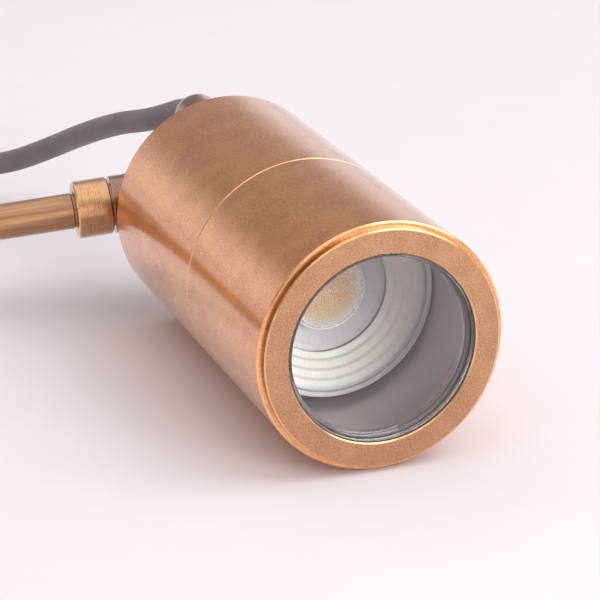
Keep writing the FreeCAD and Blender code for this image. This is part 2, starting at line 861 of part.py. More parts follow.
def inner_wiring():
    """Leads from the lamp holder to the block, and the flex's own cores."""
    radius = float(size.lead_radius)
    reach = size.holder_radius * math.sqrt(0.5)
    pole = size.pole_spacing / 2
    for label, side in (("live_lead", 1), ("neutral_lead", -1)):
        route = points(
            (side * (reach + 0.1), holder_back - 6.5, reach + 0.1),
            (side * (reach + 3.6), holder_back - 6.5, reach + 3.6),
            (side * (reach + 4.6), block_front + 0.5, reach + 5.6),
            (side * (reach + 1.6), block_front - 4.6, wire_z - 0.6),
            (side * pole, block_front - 5.2, wire_z),
            (side * pole, block_front + 0.5, wire_z))
        solid, length = tube(route, radius, label)
        node(label, formed(solid), HOLDER)
    flex_x = term(0) - size.lamp_x
    flex_z = size.gland_reach - size.lamp_z
    end = plate_back + 1.6
    for label, side in (("live_core", 1), ("neutral_core", -1)):
        route = points(
            (flex_x + side * 1.3, end - 0.05, flex_z + 0.5),
            (flex_x + side * 1.3, end - 1.6, flex_z + 0.5),
            (side * pole, block_back + 1.6, wire_z),
            (side * pole, block_back - 0.5, wire_z))
        solid, length = tube(route, radius, label)
        node(label, formed(solid), HOLDER)
    route = points(
        (flex_x, end - 0.25, flex_z - 1.7),
        (flex_x, plate_front - 1.4, flex_z - 2.5),
        (flex_x - 5, plate_front - 1.7, flex_z - 3.0),
        (size.earth_screw_x + 2.6, plate_front - 1.25, size.earth_screw_z + 2.2))
    solid, length = tube(route, radius, "earth_core")
    node("earth_core", formed(solid), HOLDER)
    thick = size.earth_tag_thickness
    tag = cut(cylinder(size.earth_tag_radius, thick, size.earth_screw_x, plate_front - thick - size.fit_gap,
                       size.earth_screw_z),
              cylinder(size.screw_radius + size.screw_clearance, 3, size.earth_screw_x, plate_front - 2,
                       size.earth_screw_z))
    node("earth_tag", tag, HOLDER)
    shoulder = plate_front - thick - size.fit_gap * 2
    node("earth_screw", screw(size.earth_screw_x, size.earth_screw_z, shoulder, 3.4), HOLDER)
    inner = cylinder(size.flex_radius, gland_end - end, 0, end, size.gland_reach)
    node("flex_inner_end", group(inner), HEAD)


# ---------------------------------------------------------------- flex gland
nut_start = hex_end + size.gland_nut_gap
gland_end = nut_start + size.gland_nut_length
foot_seal_seat = size.foot_seal_cord + 0.03


def seal_groove(radius):
    """The tool that cuts a foot's groove for its O-ring, open to the head's rear face."""
    half = size.foot_groove_width / 2
    ahead = 0.1
    return cut(cylinder(radius + half, size.foot_groove_depth + ahead, y=rear_face - ahead),
               cylinder(radius - half, size.foot_groove_depth + 1, y=rear_face - 0.5))


def gland():
    frame = HEAD * FreeCAD.Placement(FreeCAD.Vector(0, 0, float(size.gland_reach)), UPRIGHT)
    bore = gland_bore
    hexagonal = hexagon(size.gland_hex_radius, size.gland_hex_length, y=rear_face)
    bevel = turned("gland_bevel", [
        (0, rear_face), (size.gland_hex_radius, rear_face), (size.gland_hex_radius, hex_end - size.gland_bevel),
        (size.gland_hex_radius - size.gland_bevel, hex_end), (0, hex_end)])
    inner_thread = cylinder(gland_thread, size.rear_wall + 1, y=inner_rear - 1)
    outer_thread = cylinder(gland_thread, size.gland_nut_length - 5, y=hex_end - 0.5)
    passage = cylinder(bore, gland_end - inner_rear + 2, y=inner_rear - 2)
    seat = seal_groove(size.foot_seal_radius)
    body = cut(joined(common(hexagonal, bevel), inner_thread, outer_thread), passage, seat)
    node("gland_body", body, frame)
    ring_seal("gland_o_ring", size.foot_seal_radius, size.foot_seal_cord, rear_face + foot_seal_seat, frame)
    seal_start = nut_start + size.gland_nut_length - 5.1
    seal_bore = size.flex_radius + 0.06
    seal_outer = seal_bore + size.gland_seal_wall
    seal = turned("gland_seal", [
        (seal_bore, seal_start), (seal_outer, seal_start), (seal_outer, gland_end - 2.8),
        (seal_outer - 0.7, gland_end - 1.8), (seal_bore, gland_end - 1.8)])
    node("gland_seal", seal, frame)
    outer = gland_thread + size.gland_nut_wall
    dome = size.gland_dome
    shoulder = gland_end - dome
    curve = [(bore + 0.9 + (outer - bore - 0.9) * math.cos(math.radians(angle)),
              shoulder + dome * math.sin(math.radians(angle))) for angle in (0, 18, 36, 54, 72, 90)]
    outline = [
        (gland_thread + 0.1, nut_start),
        (outer - 0.3, nut_start),
        (outer, nut_start + 0.3),
        *curve,
        (bore + 0.3, gland_end),
        (bore + 0.05, gland_end - 0.9),
        (gland_thread + 0.1, gland_end - 2.1),
    ]
    node("gland_nut", turned("gland_nut", outline), frame)


# ---------------------------------------------------------------- knuckle
def knuckle_lug():
    """The head's half of the knuckle: a stud, a round foot and a flat tongue that the fork holds."""
    foot = turned("lug_foot", [
        (0, rear_face), (size.lug_base_radius, rear_face),
        (size.lug_base_radius, rear_face + size.lug_base_thickness - size.lug_base_chamfer),
        (size.lug_base_radius - size.lug_base_chamfer, rear_face + size.lug_base_thickness),
        (0, rear_face + size.lug_base_thickness)])
    stud = cylinder(size.lug_stud_radius, size.rear_wall + size.lug_nut_thickness + 1.2,
                    y=rear_face - size.rear_wall - size.lug_nut_thickness - 0.8)
    half = size.lug_tongue_half_width
    thick = size.lug_tongue_thickness
    web = block(half * 2, size.pivot_reach - size.lug_base_thickness + 0.5, thick,
                -half, rear_face + size.lug_base_thickness - 0.5, -thick / 2)
    nose = cylinder(half, thick, 0, pivot, -thick / 2, UPRIGHT)
    eye = cylinder(size.clamp_radius + size.running_gap, thick + 2, 0, pivot, -thick / 2 - 1, UPRIGHT)
    groove = seal_groove(size.lug_seal_radius)
    node("knuckle_lug", cut(joined(foot, stud, web, nose), eye, groove), HEAD)
    ring_seal("lug_o_ring", size.lug_seal_radius, size.foot_seal_cord, rear_face + foot_seal_seat)
    nut_start_y = inner_rear - size.lug_nut_thickness - size.fit_gap
    nut = cut(hexagon(size.lug_nut_radius, size.lug_nut_thickness, y=nut_start_y),
              cylinder(size.lug_stud_radius + 0.1, size.lug_nut_thickness + 2, y=nut_start_y - 1))
    node("lug_nut", nut, HEAD)


def knuckle_fork():
    """The spike's half of the knuckle, in the spike's own frame: Y runs out along it and Z is the pivot."""
    radius = size.fork_radius
    slot = size.lug_tongue_thickness + size.tilt_washer_thickness * 2 + size.fit_gap * 4
    barrel = cylinder(radius, size.fork_length + radius, y=-radius)
    nose = joined(cylinder(radius, radius * 2 + 2, 0, 0, -radius - 1, UPRIGHT),
                  block(radius * 2 + 2, size.fork_length + 2, radius * 2 + 2, -radius - 1, 0, -radius - 1))
    stub = turned("fork_stub", [
        (0, size.fork_length - 1), (size.stub_radius, size.fork_length - 1),
        (size.stub_radius, stub_end - 0.4), (size.stub_radius - 0.4, stub_end), (0, stub_end)])
    mouth = block(radius * 2 + 4, size.fork_slot_depth + radius + 2, slot,
                  -radius - 2, -radius - 2, -slot / 2)
    hole = cylinder(size.clamp_radius + size.running_gap, radius * 2 + 2, 0, 0, -radius - 1, UPRIGHT)
    head_seat = cylinder(size.clamp_head_radius + 0.3, radius, 0, 0, size.clamp_head_seat, UPRIGHT)
    nut_seat = cylinder(size.clamp_head_radius + 0.8, radius, 0, 0, -size.clamp_nut_seat - radius,
                        UPRIGHT)
    pilot = cylinder(size.pilot_radius + 0.1, size.pilot_length + 1, y=stub_end - size.pilot_length)
    made = cut(joined(common(barrel, nose), stub), mouth, hole, head_seat, nut_seat, pilot)
    node("knuckle_fork", made, SPIKE)


stub_end = size.fork_length + size.collar_gap + size.stub_length
collar_start = size.fork_length + size.collar_gap
collar_end = collar_start + size.collar_length
flange_start = stub_end + size.fit_gap


def clamp_screw():
    gap = size.fit_gap
    seat = size.clamp_head_seat + size.clamp_washer + gap * 2
    head_height = size.fork_radius - seat - 0.1
    nut_top = -size.clamp_nut_seat - gap
    nut_height = size.clamp_nut_thickness
    shaft = cylinder(size.clamp_radius, seat + size.clamp_nut_seat + nut_height, 0, 0,
                     nut_top - nut_height, UPRIGHT)
    head = cylinder(size.clamp_head_radius, head_height, 0, 0, seat, UPRIGHT)
    socket = hexagon(size.clamp_socket_radius, head_height, 0, 0, seat + 0.7, UPRIGHT)
    node("clamp_screw", cut(joined(shaft, head), socket), SPIKE)
    washer = cut(cylinder(size.clamp_head_radius, size.clamp_washer, 0, 0, size.clamp_head_seat + gap, UPRIGHT),
                 cylinder(size.clamp_radius + size.running_gap, 3, 0, 0, size.clamp_head_seat - 1, UPRIGHT))
    node("clamp_washer", washer, SPIKE)
    nut = cut(hexagon(size.clamp_nut_radius, nut_height, 0, 0, nut_top - nut_height, UPRIGHT),
              cylinder(size.clamp_radius + gap, nut_height + 2, 0, 0, nut_top - nut_height - 1, UPRIGHT))
    node("clamp_nut", nut, SPIKE)
    washers = []
    for side in (-1, 1):
        thickness = size.tilt_washer_thickness
        z = side * (size.lug_tongue_thickness / 2 + gap + thickness / 2) - thickness / 2
        washers.append(cut(cylinder(size.tilt_washer_radius, thickness, 0, 0, z, UPRIGHT),
                           cylinder(size.clamp_radius + size.running_gap, 3, 0, 0, z - 1, UPRIGHT)))
    node("tilt_washers", group(*washers), SPIKE)


# ---------------------------------------------------------------- swivel and spike
def lock_collar():
    bore = size.stub_radius + size.thread_clearance
    outer = bore + size.collar_wall
    lip_start = collar_end - size.collar_lip
    bevel = size.collar_chamfer
    outline = [
        (bore, collar_start),
        (outer - bevel, collar_start),
        (outer, collar_start + bevel),
        (outer, collar_end - bevel),
        (outer - bevel, collar_end),
        (size.spike_radius + 0.6, collar_end),
        (size.spike_radius + size.thread_clearance, collar_end - 0.3),
        (size.spike_radius + size.thread_clearance, lip_start),
        (bore, lip_start),
    ]
    node("lock_collar", turned("lock_collar", outline), SPIKE)


def friction_washer():
    start = flange_start + size.flange_thickness + size.fit_gap
    outline = [
        (size.spike_radius + 0.15, start),
        (size.flange_radius, start),
        (size.flange_radius, start + size.friction_washer_thickness),
        (size.spike_radius + 0.15, start + size.friction_washer_thickness),
    ]
    node("friction_washer", turned("friction_washer", outline), SPIKE)


def ground_spike():
    """The rod: pilot and flange held in the collar, a neck where it leaves, a long shaft and a turned point."""
    shoulder = flange_start + size.flange_thickness
    outline = [
        (0, stub_end - size.pilot_length + 0.5),
        (size.pilot_radius - 0.3, stub_end - size.pilot_length + 0.5),
        (size.pilot_radius, stub_end - size.pilot_length + 0.8),
        (size.pilot_radius, flange_start),
        (size.flange_radius, flange_start),
        (size.flange_radius, shoulder),
        (size.spike_neck_radius, shoulder),
        (size.spike_neck_radius, collar_end + size.spike_neck_reach),
        (size.spike_radius, collar_end + size.spike_neck_reach + size.spike_radius - size.spike_neck_radius),
        (size.spike_radius, size.spike_reach - size.spike_point_length),
        (size.spike_tip_radius, size.spike_reach),
        (0, size.spike_reach),
    ]
    node("ground_spike", turned("ground_spike", outline), SPIKE)


# ---------------------------------------------------------------- supply flex
flex_diameter = float(size.flex_radius * 2)
FLEX_ROUTE = [   # from the gland's mouth to the coil, by hand
    (146.68, 48.8, 49.43),
    (146.68, 52.8, 49.43),
    (146.0, 57.7, 48.5),
    (144.2, 63.5, 46.2),
    (141.0, 72.5, 42.8),
    (136.6, 87.0, 37.4),
    (131.0, 104.5, 29.9),
    (124.4, 120.8, 21.3),
    (116.0, 133.4, 14.3),
    (105.0, 142.8, 11.2),
    (93.0, 148.4, 10.4),
    (83.5, 149.7, 10.25),
    (75.3, 149.7, 10.25),
]
COIL_START = FLEX_ROUTE[-1]
COIL_LAYER = flex_diameter + 0.5   # from the lower layer of turns to the upper
COIL_PITCH = flex_diameter + 0.6   # from one turn to the next
COIL_INNER_RADIUS = 32.5
COIL_TURNS = 3.0
TAIL_ROUTE = [   # from the coil to the bare end, by hand
    (62.3, 149.7, 3.25),
    (50.0, 149.7, 3.25),
    (36.5, 145.5, 3.25),
    (26.5, 136.5, 3.25),
]
CORE_ROUTES = {  # the three cores past the jacket's end, as offsets ahead, aside and up
    "tail_live_core": [(0, 1.2, 0.4), (8, 1.6, 0.4), (17, 5.0, 0.2), (25, 9.0, 0)],
    "tail_neutral_core": [(0, -1.2, 0.4), (8, -1.7, 0.4), (16, -5.5, 0.2), (23, -10.0, 0)],
    "tail_earth_core": [(0, 0, -1.4), (9, 0.3, -1.5), (19, -0.6, -1.7), (29, 0.8, -1.8)],
}
TAIL_CORE_RADIUS = 0.95
STRAND_RADIUS = 0.6
STRAND_LENGTH = 7.0


def biarc(start, heading, end, arrival):
    """Two arcs that leave a point along one heading and reach the next along another."""
    across = end - start
    both = heading + arrival
    square = 2 * (1 - heading.dot(arrival))
    along = across.dot(both)
    if abs(square) < 1e-9:
        reach = across.dot(across) / (4 * across.dot(arrival))
    else:
        reach = (-along + math.sqrt(along ** 2 + square * across.dot(across))) / square
    meet = (start + heading * reach + end - arrival * reach) * 0.5
    return [arc_from(start, heading, meet), arc_from(end, -arrival, meet, True)]


def arc_from(start, heading, end, backwards=False):
    """The arc from a point along a heading to another point."""
    chord = end - start
    unit = FreeCAD.Vector(chord).normalize()
    half = heading.getAngle(unit)
    if half < 1e-6:
        line = (end, start) if backwards else (start, end)
        return Part.LineSegment(*line).toShape()
    side = (heading - unit * heading.dot(unit)).normalize()
    middle = (start + end) * 0.5 + side * (chord.Length / 2 * math.tan(half / 2))
    return Part.Arc(end, middle, start).toShape() if backwards else Part.Arc(start, middle, end).toShape()


def coil_spot(turn):
    """Place and heading on the coil, from -half to +half its turns: in on the upper layer, out on the lower."""
    half = COIL_TURNS / 2
    radius = COIL_INNER_RADIUS + COIL_PITCH * abs(turn)
    angle = math.radians(-90 - 360 * (turn + half))
    climb = max(-1.0, min(1.0, turn * 4))
    z = COIL_START[2] - COIL_LAYER * (1 + math.sin(climb * math.pi / 2)) / 2
    fall = -COIL_LAYER * math.pi * math.cos(climb * math.pi / 2) if abs(climb) < 1 else 0.0
    growth = 0.0 if turn == 0 or abs(turn) == half else math.copysign(COIL_PITCH, turn)
    outer = COIL_INNER_RADIUS + COIL_PITCH * half
    centre = (COIL_START[0] - flex_diameter, COIL_START[1] + outer)
    place = FreeCAD.Vector(centre[0] + radius * math.cos(angle), centre[1] + radius * math.sin(angle), z)
    spin = -2 * math.pi
    heading = FreeCAD.Vector(
        growth * math.cos(angle) - radius * math.sin(angle) * spin,
        growth * math.sin(angle) + radius * math.cos(angle) * spin,
        fall)
    return place, heading.normalize()


def coil_path():
    quarters = int(COIL_TURNS * 4)
    spots = [coil_spot(index / 4 - COIL_TURNS / 2) for index in range(quarters + 1)]
    lead = FreeCAD.Vector(-flex_diameter, 0, 0)
    edges = [Part.LineSegment(spots[0][0] - lead, spots[0][0]).toShape()]
    for (start, heading), (end, arrival) in zip(spots, spots[1:]):
        edges += biarc(start, heading, end, arrival)
    edges.append(Part.LineSegment(spots[-1][0], spots[-1][0] + lead).toShape())
    return Part.Wire(edges), spots[-1][0] + lead


def least_gap(path, radius):
    """The least clear distance from the tube to itself, between points over a third of a turn apart."""
    step = 3.0
    spots = path.discretize(Distance=step)
    apart = int(2 * math.pi * COIL_INNER_RADIUS / 3 / step)
    nearest = min(a.distanceToPoint(b) for index, a in enumerate(spots) for b in spots[index + apart:])
    return nearest - 2 * radius


def supply_flex():
    radius = flex_diameter / 2
    solid, free = tube(points(*FLEX_ROUTE), radius, "supply_flex")
    node("supply_flex", formed(solid), PART)
    path, end = coil_path()
    coil = swept(path, radius, FreeCAD.Vector(*COIL_START), FreeCAD.Vector(-1, 0, 0))
    share = coil.Volume / (math.pi * radius ** 2 * path.Length)
    print(f"flex_coil: length {path.Length:.1f}, volume share {share:.4f}, "
          f"least gap to itself {least_gap(path, radius):.2f}")
    node("flex_coil", formed(coil), PART)
    tail, tail_length = tube([end] + points(*TAIL_ROUTE[1:]), radius, "flex_tail")
    node("flex_tail", formed(tail), PART)
    print(f"jacketed flex outside the gland: {free + path.Length + tail_length:.0f}")
    last, before = points(TAIL_ROUTE[-1], TAIL_ROUTE[-2])
    ahead = (last - before).normalize()
    aside = Z_AXIS.cross(ahead)
    strands = []
    for label, offsets in CORE_ROUTES.items():
        route = [last + ahead * (0.05 + a) + aside * b + Z_AXIS * c for a, b, c in offsets]
        solid, length = tube(route, TAIL_CORE_RADIUS, label)
        node(label, formed(solid), PART)
        way = (route[-1] - route[-2]).normalize()
        strands.append(Part.makeCylinder(STRAND_RADIUS, STRAND_LENGTH, route[-1] + way * 0.05, way))
    node("tail_strands", formed(Part.makeCompound(strands)), PART)


# ---------------------------------------------------------------- build, check and write
front_barrel()
rear_housing()
head_seals()
front_ring()
front_glass()
glass_seal()
lamp_shell()
lamp_optic()
lamp_lens()
lamp_electrics()
lamp_base()
lamp_pins()
lamp_holder()
holder_contacts()
holder_bracket()
holder_fasteners()
terminal_block()
terminal_inserts()
inner_wiring()
gland()
knuckle_lug()
knuckle_fork()
clamp_screw()
lock_collar()
friction_washer()
ground_spike()
supply_flex()
document.recompute()

for thing in document.Objects:
    if {"Invalid", "Error"} & set(thing.State):
        raise RuntimeError(f"{thing.Label} is {thing.State}")
os.makedirs("parts", exist_ok=True)
total = FreeCAD.BoundBox()
for label, made in NODES.items():
    if made.Shape.isNull() or not made.Shape.isValid() or made.Shape.Volume <= 0:
        raise RuntimeError(f"{label} has no sound shape")
    if not made.Label == label:
        raise RuntimeError(f"{label} lost its name to {made.Label}")
    if "flex" not in label and "tail" not in label:
        total.add(made.Shape.BoundBox)
for label, made in NODES.items():
    made.Shape.exportStep(f"parts/{label}.step")
print(f"{len(NODES)} nodes, box without the flex x {total.XMin:.2f} {total.XMax:.2f} "
      f"y {total.YMin:.2f} {total.YMax:.2f} z {total.ZMin:.2f} {total.ZMax:.2f}")
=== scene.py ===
# %% [markdown]
# # A garden spike spotlight
# The light is a short brass tube with a glass front, held by a tilting knuckle on a pointed rod. Its
# construction comes from an exact model, which is loaded first and never moved. This lesson gives each
# piece its finish, replaces the soft pieces and the moulded optics that a solid model can only hint at, and
# lights the whole plainly.

# %% Load the exact model
import bpy
import bmesh
import json
import math
from mathutils import Matrix, Vector


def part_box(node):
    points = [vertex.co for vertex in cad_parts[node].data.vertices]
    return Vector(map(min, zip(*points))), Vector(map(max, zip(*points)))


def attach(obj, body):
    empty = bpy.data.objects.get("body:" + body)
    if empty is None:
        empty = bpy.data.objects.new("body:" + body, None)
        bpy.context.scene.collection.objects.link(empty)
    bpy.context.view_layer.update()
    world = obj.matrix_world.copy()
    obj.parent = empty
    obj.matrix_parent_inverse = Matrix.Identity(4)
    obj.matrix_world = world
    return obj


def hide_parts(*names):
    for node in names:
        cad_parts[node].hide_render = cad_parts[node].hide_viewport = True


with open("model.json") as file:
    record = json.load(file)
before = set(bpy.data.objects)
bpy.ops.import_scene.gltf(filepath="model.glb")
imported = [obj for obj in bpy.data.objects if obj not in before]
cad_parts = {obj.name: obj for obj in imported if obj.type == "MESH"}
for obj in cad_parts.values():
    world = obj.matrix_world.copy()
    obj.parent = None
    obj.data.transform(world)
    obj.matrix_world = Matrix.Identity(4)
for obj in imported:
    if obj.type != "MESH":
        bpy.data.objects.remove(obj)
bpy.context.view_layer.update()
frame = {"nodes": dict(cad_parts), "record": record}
nodes = frame["nodes"]
scene = bpy.context.scene
MILLIMETRE = 0.001
print("pieces in the exact model:", len(nodes))

# %% [markdown]
# ## Camera
# The photograph looks down at the light from its front left through a long lens, so the lines along the
# tube stay nearly parallel. The camera's place was worked out from the ellipses of the ring, the seam and
# the far edge. A camera in Blender looks along its own -Z with +Y up, which `to_track_quat` sets.

# %% Camera
CAMERA_PLACE = Vector((-0.0500, -0.5584, 0.2359))
CAMERA_AIM = Vector((0.3280, 0.8765, -0.3523))
LENS_MM = 147.4

camera_data = bpy.data.cameras.new("camera")
camera_data.lens = LENS_MM
camera_data.sensor_width = 36.0
camera_data.clip_start = 0.01
camera = bpy.data.objects.new("camera", camera_data)
camera.location = CAMERA_PLACE
camera.rotation_euler = CAMERA_AIM.to_track_quat("-Z", "Y").to_euler()
scene.collection.objects.link(camera)
scene.camera = camera
print("camera height over the surface:", round(camera.location.z, 3), "m")

# %% [markdown]
# ## Supply flex
# A rubber flex leaves the gland, falls to the surface in one easy bend and runs out of the picture. The rest is
# put away as a round coil in two layers, and its cores are bare at the end. One spline carries it all: the free
# points are listed, and the coil's come from a formula. A NURBS curve of order 3 rounds its control points into
# the smooth line that a rubber flex takes.

# %% Flex route
FLEX_DIAMETER = 0.0065
FLEX_POINTS = [
    (0.14668, 0.0488, 0.04943),
    (0.14668, 0.0528, 0.04943),
    (0.1460, 0.0577, 0.0482),
    (0.1442, 0.0635, 0.0456),
    (0.1410, 0.0725, 0.0418),
    (0.1366, 0.0870, 0.0374),
    (0.1310, 0.1045, 0.0299),
    (0.1244, 0.1208, 0.0213),
    (0.1160, 0.1334, 0.0143),
    (0.1050, 0.1428, 0.0112),
    (0.0930, 0.1484, 0.0104),
    (0.0835, 0.1497, 0.01025),
    (0.0753, 0.1497, 0.01025),
]
TAIL_POINTS = [
    (0.0500, 0.1497, 0.00325),
    (0.0365, 0.1455, 0.00325),
    (0.0265, 0.1365, 0.00325),
]
COIL_TURNS = 3.0
COIL_INNER_RADIUS = 0.0325
COIL_PITCH = 0.0071
COIL_LAYER = 0.0070
COIL_POINTS_PER_TURN = 16
LAYER_CHANGE_TURNS = 0.25   # on each side of the place where the flex goes down to the lower layer


def coil_points():
    """Points on the coil: in along the upper layer, down where the spiral reverses, out along the lower."""
    half = COIL_TURNS / 2
    outer = COIL_INNER_RADIUS + COIL_PITCH * half
    start = FLEX_POINTS[-1]
    centre = (start[0] - FLEX_DIAMETER, start[1] + outer)
    found = []
    count = int(COIL_TURNS * COIL_POINTS_PER_TURN)
    for index in range(count + 1):
        turn = index / COIL_POINTS_PER_TURN - half
        radius = COIL_INNER_RADIUS + COIL_PITCH * abs(turn)
        angle = math.radians(-90 - 360 * (turn + half))
        climb = max(-1.0, min(1.0, turn / LAYER_CHANGE_TURNS))
        drop = COIL_LAYER * (1 + math.sin(climb * math.pi / 2)) / 2
        # The spline cuts inside its points, so they stand a little outside the turn's radius.
        reach = radius / math.cos(math.pi / COIL_POINTS_PER_TURN) ** 0.5
        found.append((centre[0] + reach * math.cos(angle), centre[1] + reach * math.sin(angle),
                      start[2] - drop))
    return found


route = FLEX_POINTS + coil_points() + TAIL_POINTS
print("points in the flex's route:", len(route))

# %% [markdown]
# The spline's order is set after its points are added, because before that Blender leaves it at straight
# runs. Its own round bevel makes the jacket, closed at the cut end. The bevel is one metre and each point's
# radius scales it down, because Blender measures a curve's box from its points' radii.

# %% Flex
def smooth_curve(name, points, diameter):
    """A round cord along a smooth spline that these points steer."""
    curve = bpy.data.curves.new(name, "CURVE")
    curve.dimensions = "3D"
    curve.bevel_depth = 1.0
    curve.bevel_resolution = 7
    curve.resolution_u = 10
    curve.use_fill_caps = True
    spline = curve.splines.new("NURBS")
    spline.points.add(len(points) - 1)
    for place, point in zip(points, spline.points):
        point.co = (*place, 1.0)
        point.radius = diameter / 2
    spline.order_u = 3
    spline.use_endpoint_u = True
    cord = bpy.data.objects.new(name, curve)
    scene.collection.objects.link(cord)
    return cord


flex = smooth_curve("flex", route, FLEX_DIAMETER)
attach(flex, "head")
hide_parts("supply_flex", "flex_coil", "flex_tail")
print("flex:", round(FLEX_DIAMETER * 1000, 1), "mm across")

# %% [markdown]
# ## Writing finishes
# Every finish here is a small node tree on one Principled shader: a pattern on the object's own
# coordinates drives colour, roughness and a fine bump. The class below keeps each of them to a few lines.
# Its patterns are given in millimetres, because that is how a maker thinks of grain and wear. Colours that
# are the same all over stay on the shader's own sockets. The part that adds a node comes first, on its own,
# because the geometry node trees further down use it too.

# %% Node writer
class Writer:
    """Adds nodes to a tree. An input that is a socket is linked, and any other is set."""

    prefix = ""

    def add(self, kind, inputs=None, **settings):
        made = self.tree.nodes.new(self.prefix + kind)
        for key, value in settings.items():
            setattr(made, key, value)
        for key, value in (inputs or {}).items():
            if isinstance(value, bpy.types.NodeSocket):
                self.tree.links.new(value, made.inputs[key])
            else:
                made.inputs[key].default_value = value
        return made

    def math(self, operation, first, second=0.5, third=0.0, clamp=False):
        kind = "ShaderNodeMath".removeprefix(self.prefix)
        made = self.add(kind, {0: first, 1: second, 2: third}, operation=operation, use_clamp=clamp)
        return made.outputs[0]


print("node writer ready")

# %% [markdown]
# A finish adds the patterns that the materials below share: local coordinates, noise, colour ramps, bumps, and
# a mask that finds worn edges and, on turned pieces, chamfers for a painted highlight.

# %% Finish helper
class Finish(Writer):
    """A material being written, on one Principled shader."""

    prefix = "ShaderNode"

    def __init__(self, name, **constants):
        self.material = bpy.data.materials.new(name)
        self.material.use_nodes = True
        self.tree = self.material.node_tree
        self.shader = self.tree.nodes["Principled BSDF"]
        self.object = self.add("TexCoord").outputs["Object"]
        self.set(**constants)

    def set(self, **values):
        for key, value in values.items():
            socket = self.shader.inputs[key.replace("_", " ").title().replace("Ior", "IOR")]
            if isinstance(value, bpy.types.NodeSocket):
                self.tree.links.new(value, socket)
            else:
                socket.default_value = value

    def local(self, place, matrix=None):
        """Coordinates from a place on the piece, in millimetres, turned to its own axes."""
        turn = (matrix or Matrix.Identity(3)).to_3x3().to_euler()
        return self.add("Mapping", {"Vector": self.object, "Location": place, "Rotation": turn,
                                    "Scale": (MILLIMETRE,) * 3}, vector_type="TEXTURE").outputs[0]

    def noise(self, vector, size, detail=3.0, stretch=(1, 1, 1), roughness=0.5):
        """Soft noise whose spots are about this many millimetres across, longer where stretch is over 1."""
        scaled = self.add("Mapping", {"Vector": vector, "Scale": tuple(1 / (size * s) for s in stretch)})
        return self.add("TexNoise", {"Vector": scaled.outputs[0], "Scale": 1.0, "Detail": detail,
                                     "Roughness": roughness}).outputs["Fac"]

    def ramp(self, factor, *stops):
        """A colour for a factor: stops are (place, colour)."""
        made = self.add("ValToRGB", {"Fac": factor})
        elements = made.color_ramp.elements
        while len(elements) < len(stops):
            elements.new(0.5)
        for element, (place, colour) in zip(elements, stops):
            element.position = place
            element.color = (*colour, 1.0)
        return made.outputs["Color"]

    def spread(self, factor, low, high, start=0.3, end=0.7):
        """A number that runs from low to high as the factor goes from start to end."""
        return self.add("MapRange", {"Value": factor, "From Min": start, "From Max": end, "To Min": low,
                                     "To Max": high}).outputs[0]

    def blend(self, factor, first, second):
        return self.add("Mix", {0: factor, 6: first, 7: second}, data_type="RGBA").outputs[2]

    def relief(self, height, depth, after=None):
        """A bump this many millimetres deep, on top of an earlier one."""
        inputs = {"Height": height, "Strength": 1.0, "Distance": depth * MILLIMETRE}
        if after:
            inputs["Normal"] = after
        return self.add("Bump", inputs).outputs[0]

    def edges(self, width, grain=None, axis=None):
        """1 on an edge and 0 away from it, from how far the bevelled normal leans from the true one; this is
        edge wear. On a turned piece the chamfers count too, as a painted highlight: they face neither along its
        axis nor straight out from it."""
        bevelled = self.add("Bevel", {"Radius": width * MILLIMETRE}, samples=6).outputs[0]
        true = self.add("NewGeometry").outputs["Normal"]
        lean = self.add("VectorMath", {0: bevelled, 1: true}, operation="DOT_PRODUCT").outputs["Value"]
        worn = self.spread(lean, 0.8, 0.0, 0.84, 0.99)
        if axis is not None:
            facing = self.add("TexCoord").outputs["Normal"]
            dot = self.add("VectorMath", {0: facing, 1: tuple(axis)}, operation="DOT_PRODUCT").outputs["Value"]
            along = self.math("ABSOLUTE", dot)
            # painted highlight: turned chamfers get the bright edge colour
            chamfer = self.math("MULTIPLY", self.spread(along, 0.0, 1.0, 0.2, 0.45),
                                self.spread(along, 1.0, 0.0, 0.85, 0.95))
            worn = self.math("MAXIMUM", worn, chamfer)
        return self.math("MULTIPLY", worn, grain) if grain else worn


print("finish helper ready")

# %% [markdown]
# ## Aged brass
# The head, ring, knuckle, collar and gland are turned brass, browned and then waxed. The brown is not even: it
# has a fine speckle a few tenths of a millimetre across and broader clouds. Edges are rubbed bright by
# handling, and the turned chamfers get the same bright colour as a painted highlight. A metal shader gives the
# brown its reflections, and a thin coat stands for the wax, which reflects white light at a glance, so that the
# flanks look paler and pinker than the top.

# %% Aged brass
HEAD_PLACE = (0.1483, -0.0827, 0.0300)
HEAD_TURN = Matrix.Rotation(math.radians(-4.767), 3, "Y")
BROWN_DARK = (0.54, 0.162, 0.018)
BROWN = (0.82, 0.286, 0.036)
BROWN_PALE = (0.98, 0.420, 0.080)
# bright brass of rubbed edges, also the painted highlight on turned chamfers
RUBBED = (0.95, 0.53, 0.19)
CLOUD_MM = 7.0
CLOUD_SHARE = 0.22
SPECK_MM = 0.45


def browned(finish, vector, tint=(1, 1, 1)):
    """The brown of aged brass, and the speckle that drives it. Tint changes its three colours alike."""
    cloud = finish.noise(vector, CLOUD_MM, 2.0)
    fine = finish.noise(vector, SPECK_MM, 4.0, roughness=0.7)
    both = finish.math("MULTIPLY_ADD", cloud, CLOUD_SHARE, finish.math("MULTIPLY", fine, 1 - CLOUD_SHARE))
    shades = (BROWN_DARK, BROWN, BROWN_PALE)
    dark, brown, pale = [tuple(c * t for c, t in zip(shade, tint)) for shade in shades]
    colour = finish.ramp(both, (0.39, dark), (0.50, brown), (0.61, pale))
    return colour, fine, both


